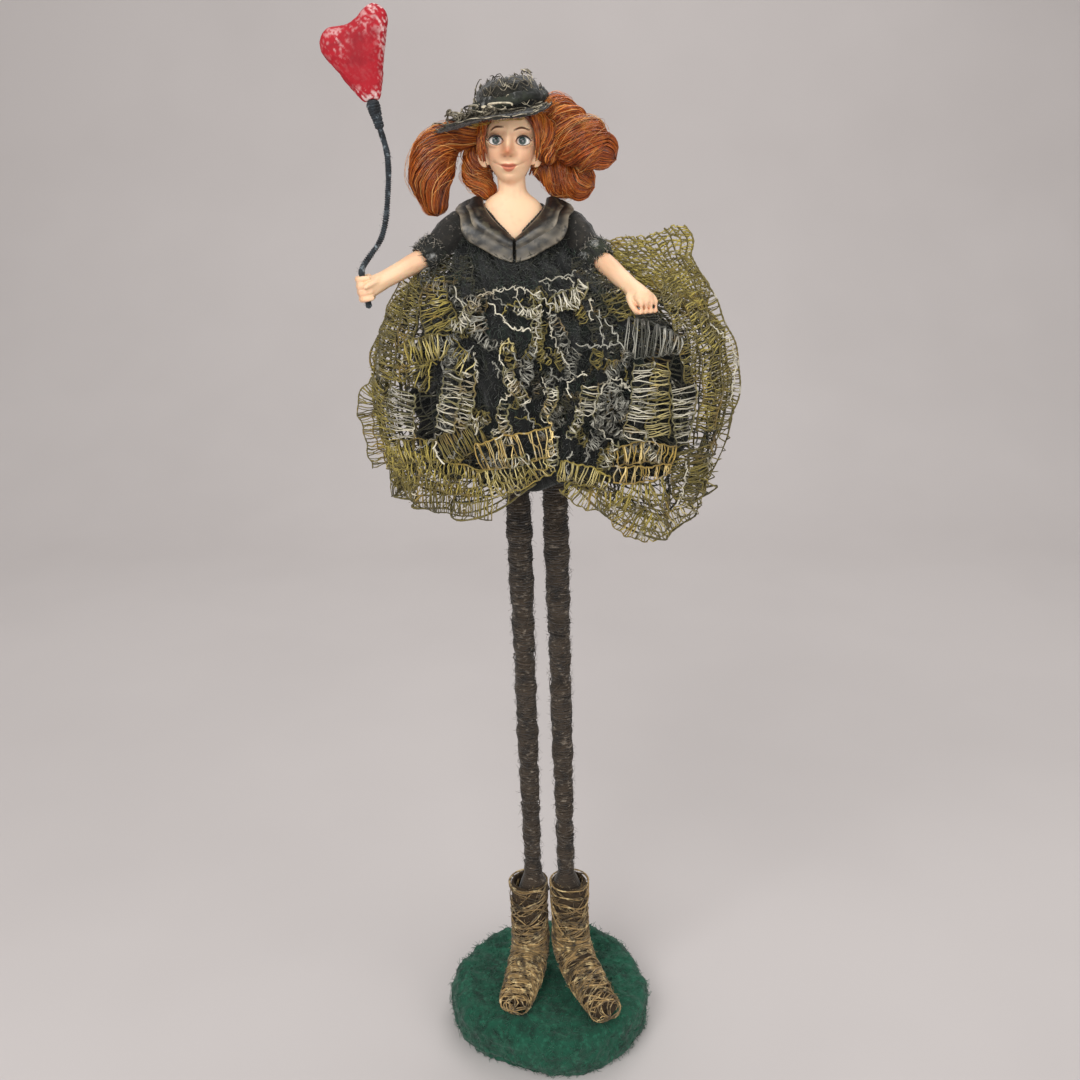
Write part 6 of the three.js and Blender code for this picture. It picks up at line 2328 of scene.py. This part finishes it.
@dataclass
class HeartOnStem:
    """A painted heart on a wire stem wound with cotton.

    Attributes:
        fist: where the stem lies in the hand.
        up: along the stem in the hand.
        length: rise from the fist to the heart.
        radius: of the wound stem.
        turns: of thread along it.
        grip: stations of the straight part in the fist, along it.
        bends: places of the bent part across and ahead, and their share of the length.
    """

    fist: Triple = (-85.44, -14.93, 418.5)
    up: Triple = (-0.155, 0.0, 0.988)
    length: float = 79.0
    radius: float = 1.5
    turns: int = 150
    grip: tuple[float, ...] = (-8.5, -3.0, 3.0, 8.0)
    bends: tuple[Triple, ...] = (
        (8.5, 1, 0.29), (11.8, 2.6, 0.53), (12.0, 3.8, 0.73), (9.2, 4.6, 0.87), (6.4, 5.0, 1.0),
    )

    def line(self) -> list[Array]:
        """The stem's places from below the fist up to the heart."""
        foot, up = np.array(self.fist), np.array(self.up)
        points = [foot + up * d for d in self.grip]
        return points + [foot + np.array([x, y, share * self.length]) for x, y, share in self.bends]

    def build(self) -> None:
        """Winds the stem, binds its top and models the heart."""
        points = self.line()
        stem = Limb(points, [self.radius - 0.55] * len(points), (0, 1, 0))
        core = limb_piece("stem_core", stem, columns=90, rows=10)
        dress(core, "stem_thread", STEM_COTTON, "stem_thread", body=Body.HEART_STEM)
        cotton = Threads(121)
        t = np.linspace(*WOUND, self.turns * 10)
        wave = np.sin(37 * t) + np.sin(91 * t + 1)
        cotton.add(stem.skin(t, TAU * self.turns * t, 0.12 + 0.06 * wave)[None], 0.42)
        Nap(count=90, length=2.0, radius=0.08, lie=1.4).grow(cotton, core)
        dress(cotton.piece("stem_winding"), "stem_thread", STEM_COTTON, body=Body.HEART_STEM)
        top = Limb(points[-2:], [1.2, 2.4], (0, 1, 0))
        knot = sculpted("binding_core", "stem_binding", voxel=0.4, passes=3)
        dress(knot, "stem_thread", STEM_COTTON, "stem_binding", body=Body.HEART_STEM)
        bound = Threads(122)
        for k in range(4):
            s = np.linspace(0.02, 0.98, 110)
            slope = 9.0 if k % 2 else -6.0
            grow = 0.45 + 0.15 * np.sin(9 * s + k)
            bound.add(top.skin(s, k + TAU * slope * s, grow)[None], 0.34)
        dress(bound.piece("stem_binding_thread"), "stem_thread", STEM_COTTON, body=Body.HEART_STEM)
        heart = sculpted("painted_heart", "heart", voxel=0.5, passes=16, rounded=1)
        lumps(heart, size=5, height=0.9)
        paint(heart, self.brush(points_of(heart)))
        dress(heart, "heart_red", HEART_RED, "heart", body=Body.HEART_STEM)

    def brush(self, points: Array) -> Array:
        """Colours of the heart: crimson, with white dry-brushed along its edges and at its tip.

        Args:
            points: the heart's vertices.

        Returns:
            A linear colour for each.
        """
        x, _, z = points.T
        low, high = points.min(axis=0), points.max(axis=0)
        u, v = (x - low[0]) / (high[0] - low[0]), (z - low[2]) / (high[2] - low[2])
        streak = speckle(points @ np.array([[1, 0, 0.4], [0, 1, 0], [0.9, 0, -0.35]]), 1.0, 125)
        streak = 0.65 * streak + 0.35 * speckle(points, 0.7, 126)
        red = plain(HEART_RED.colour, len(points))
        red = brushed(red, "#8a0818", 0.7 * bump(u, v, (0.55, 0.5), (0.2, 0.25)))
        rim = ease(u, 0.78, 0.98) + ease(v, 0.72, 1.0) * ease(u, 0.5, 0.75) + 1.2 * ease(-v, -0.2, -0.05)
        rim += 0.8 * bump(u, v, (0.24, 0.62), (0.16, 0.16)) + 0.5 * bump(u, v, (0.62, 0.76), (0.2, 0.08))
        return brushed(red, "#f0d3d0", (0.03 + 0.75 * rim) * ease(streak, 0.46, 0.7))


def finish_hidden() -> None:
    """Gives the wires and the core of the base, which hardly show, their own finishes."""
    hidden = {f"{wire}_wire": STEEL for wire in WIRES} | {"base_core": PINE}
    for node, finish in hidden.items():
        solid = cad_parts[node]
        solid.data.materials.clear()
        solid.data.materials.append(finish.material())


# Stage

# The photograph's camera: sensor in millimetres, focal length and picture in pixels, place in metres,
# and degrees up from straight down
SENSOR = 36.0
FOCAL, PICTURE = 1132, 1080
CAMERA_PLACE = (-0.00585, -0.540, 0.478)
CAMERA_UP = 71
# The paper under the doll and behind it, in metres
PAPER = Finish("pale paper", "#c9c3c1", 0.9, (Patch("#c4bebc", 400, 0.4, 0.7),))
FLOOR = ((-4, -3, 0), (4, -3, 0), (-4, 1.3, 0), (4, 1.3, 0))
WALL = (0, 0.6, 3.0)
# Light from all round
SKY, SKY_STRENGTH = "#e9e6e4", 0.45


@dataclass(frozen=True)
class Lamp:
    """A soft square lamp that looks at the doll.

    Attributes:
        name: of the lamp.
        place: in metres.
        size: of its face, in metres.
        power: in watts.
    """

    name: str
    place: Triple
    size: float
    power: float
    # The place that every lamp looks at
    AIM: ClassVar[Triple] = (-0.01, 0.0, 0.36)

    def hang(self) -> None:
        """Adds the lamp to the scene."""
        lamp = bpy.data.objects.new(self.name, bpy.data.lights.new(self.name, "AREA"))
        lamp.data.size = self.size
        lamp.data.energy = self.power
        lamp.location = self.place
        x, y, z = np.array(self.AIM) - np.array(self.place)
        lamp.rotation_euler = (math.atan2(math.hypot(x, y), -z), 0.0, math.atan2(y, x) - math.pi / 2)
        bpy.context.scene.collection.objects.link(lamp)


LAMPS = (
    Lamp("key", (-0.7, -1.1, 1.5), size=1.0, power=16.0),
    Lamp("fill", (1.1, -0.9, 0.9), size=1.2, power=7.0),
    Lamp("top", (0.2, 0.7, 1.6), size=1.0, power=9.0),
    Lamp("front", (-0.15, -1.5, 0.5), size=0.9, power=7.0),
)


def place_camera() -> None:
    """Adds the camera that took the photograph."""
    scene = bpy.context.scene
    scene.view_settings.view_transform = "Standard"
    camera = bpy.data.objects.new("camera", bpy.data.cameras.new("camera"))
    camera.data.sensor_width = SENSOR
    camera.data.lens = SENSOR * FOCAL / PICTURE
    camera.location = CAMERA_PLACE
    camera.rotation_euler = (math.radians(CAMERA_UP), 0.0, 0.0)
    scene.collection.objects.link(camera)
    scene.camera = camera


def lay_paper() -> None:
    """Lays the pale paper under the doll, and bends it up behind."""
    bpy.ops.object.select_all(action="DESELECT")
    bpy.ops.mesh.primitive_plane_add(size=1.0)
    floor = bpy.context.active_object
    floor.name = "floor"
    floor.data.vertices.foreach_set("co", np.array(FLOOR, float).ravel())
    only(floor)
    bpy.ops.object.mode_set(mode="EDIT")
    bpy.ops.mesh.select_all(action="DESELECT")
    bpy.ops.object.mode_set(mode="OBJECT")
    for edge in floor.data.edges:
        edge.select = all(floor.data.vertices[i].co.y > 1 for i in edge.vertices)
    bpy.ops.object.mode_set(mode="EDIT")
    bpy.ops.mesh.select_mode(type="EDGE")
    bpy.ops.mesh.extrude_region_move(TRANSFORM_OT_translate={"value": WALL})
    bpy.ops.object.mode_set(mode="OBJECT")
    apply_modifier(floor, "BEVEL", {"width": 0.5, "segments": 12, "limit_method": "ANGLE"})
    floor.data.materials.append(PAPER.material())
    smooth(floor)


def make_stage() -> None:
    """Adds the camera, the pale paper and soft studio light."""
    place_camera()
    lay_paper()
    for lamp in LAMPS:
        lamp.hang()
    world = bpy.data.worlds.new("studio")
    world.use_nodes = True
    bpy.context.scene.world = world
    back = world.node_tree.nodes["Background"]
    back.inputs["Color"].default_value = linear(SKY)
    back.inputs["Strength"].default_value = SKY_STRENGTH


def main() -> None:
    """Builds the doll's looks piece by piece."""
    logging.basicConfig(level=logging.INFO, format="%(name)s %(message)s")
    make_stage()
    FeltBase().build()
    Legs().build()
    Skirt().build()
    Bodice().build()
    Arm(Side.RIGHT, elbow=(-59.25, -10.4, 431.24), aim=(-23, -4, -12), length=27.0).build()
    Arm(Side.LEFT, elbow=(22.0, -12.7, 430.2), aim=(17, -24, -14), length=31.0).build()
    Head().build()
    Hair().build()
    Hat().build()
    HeartOnStem().build()
    finish_hidden()


if __name__ == "__main__":
    main()
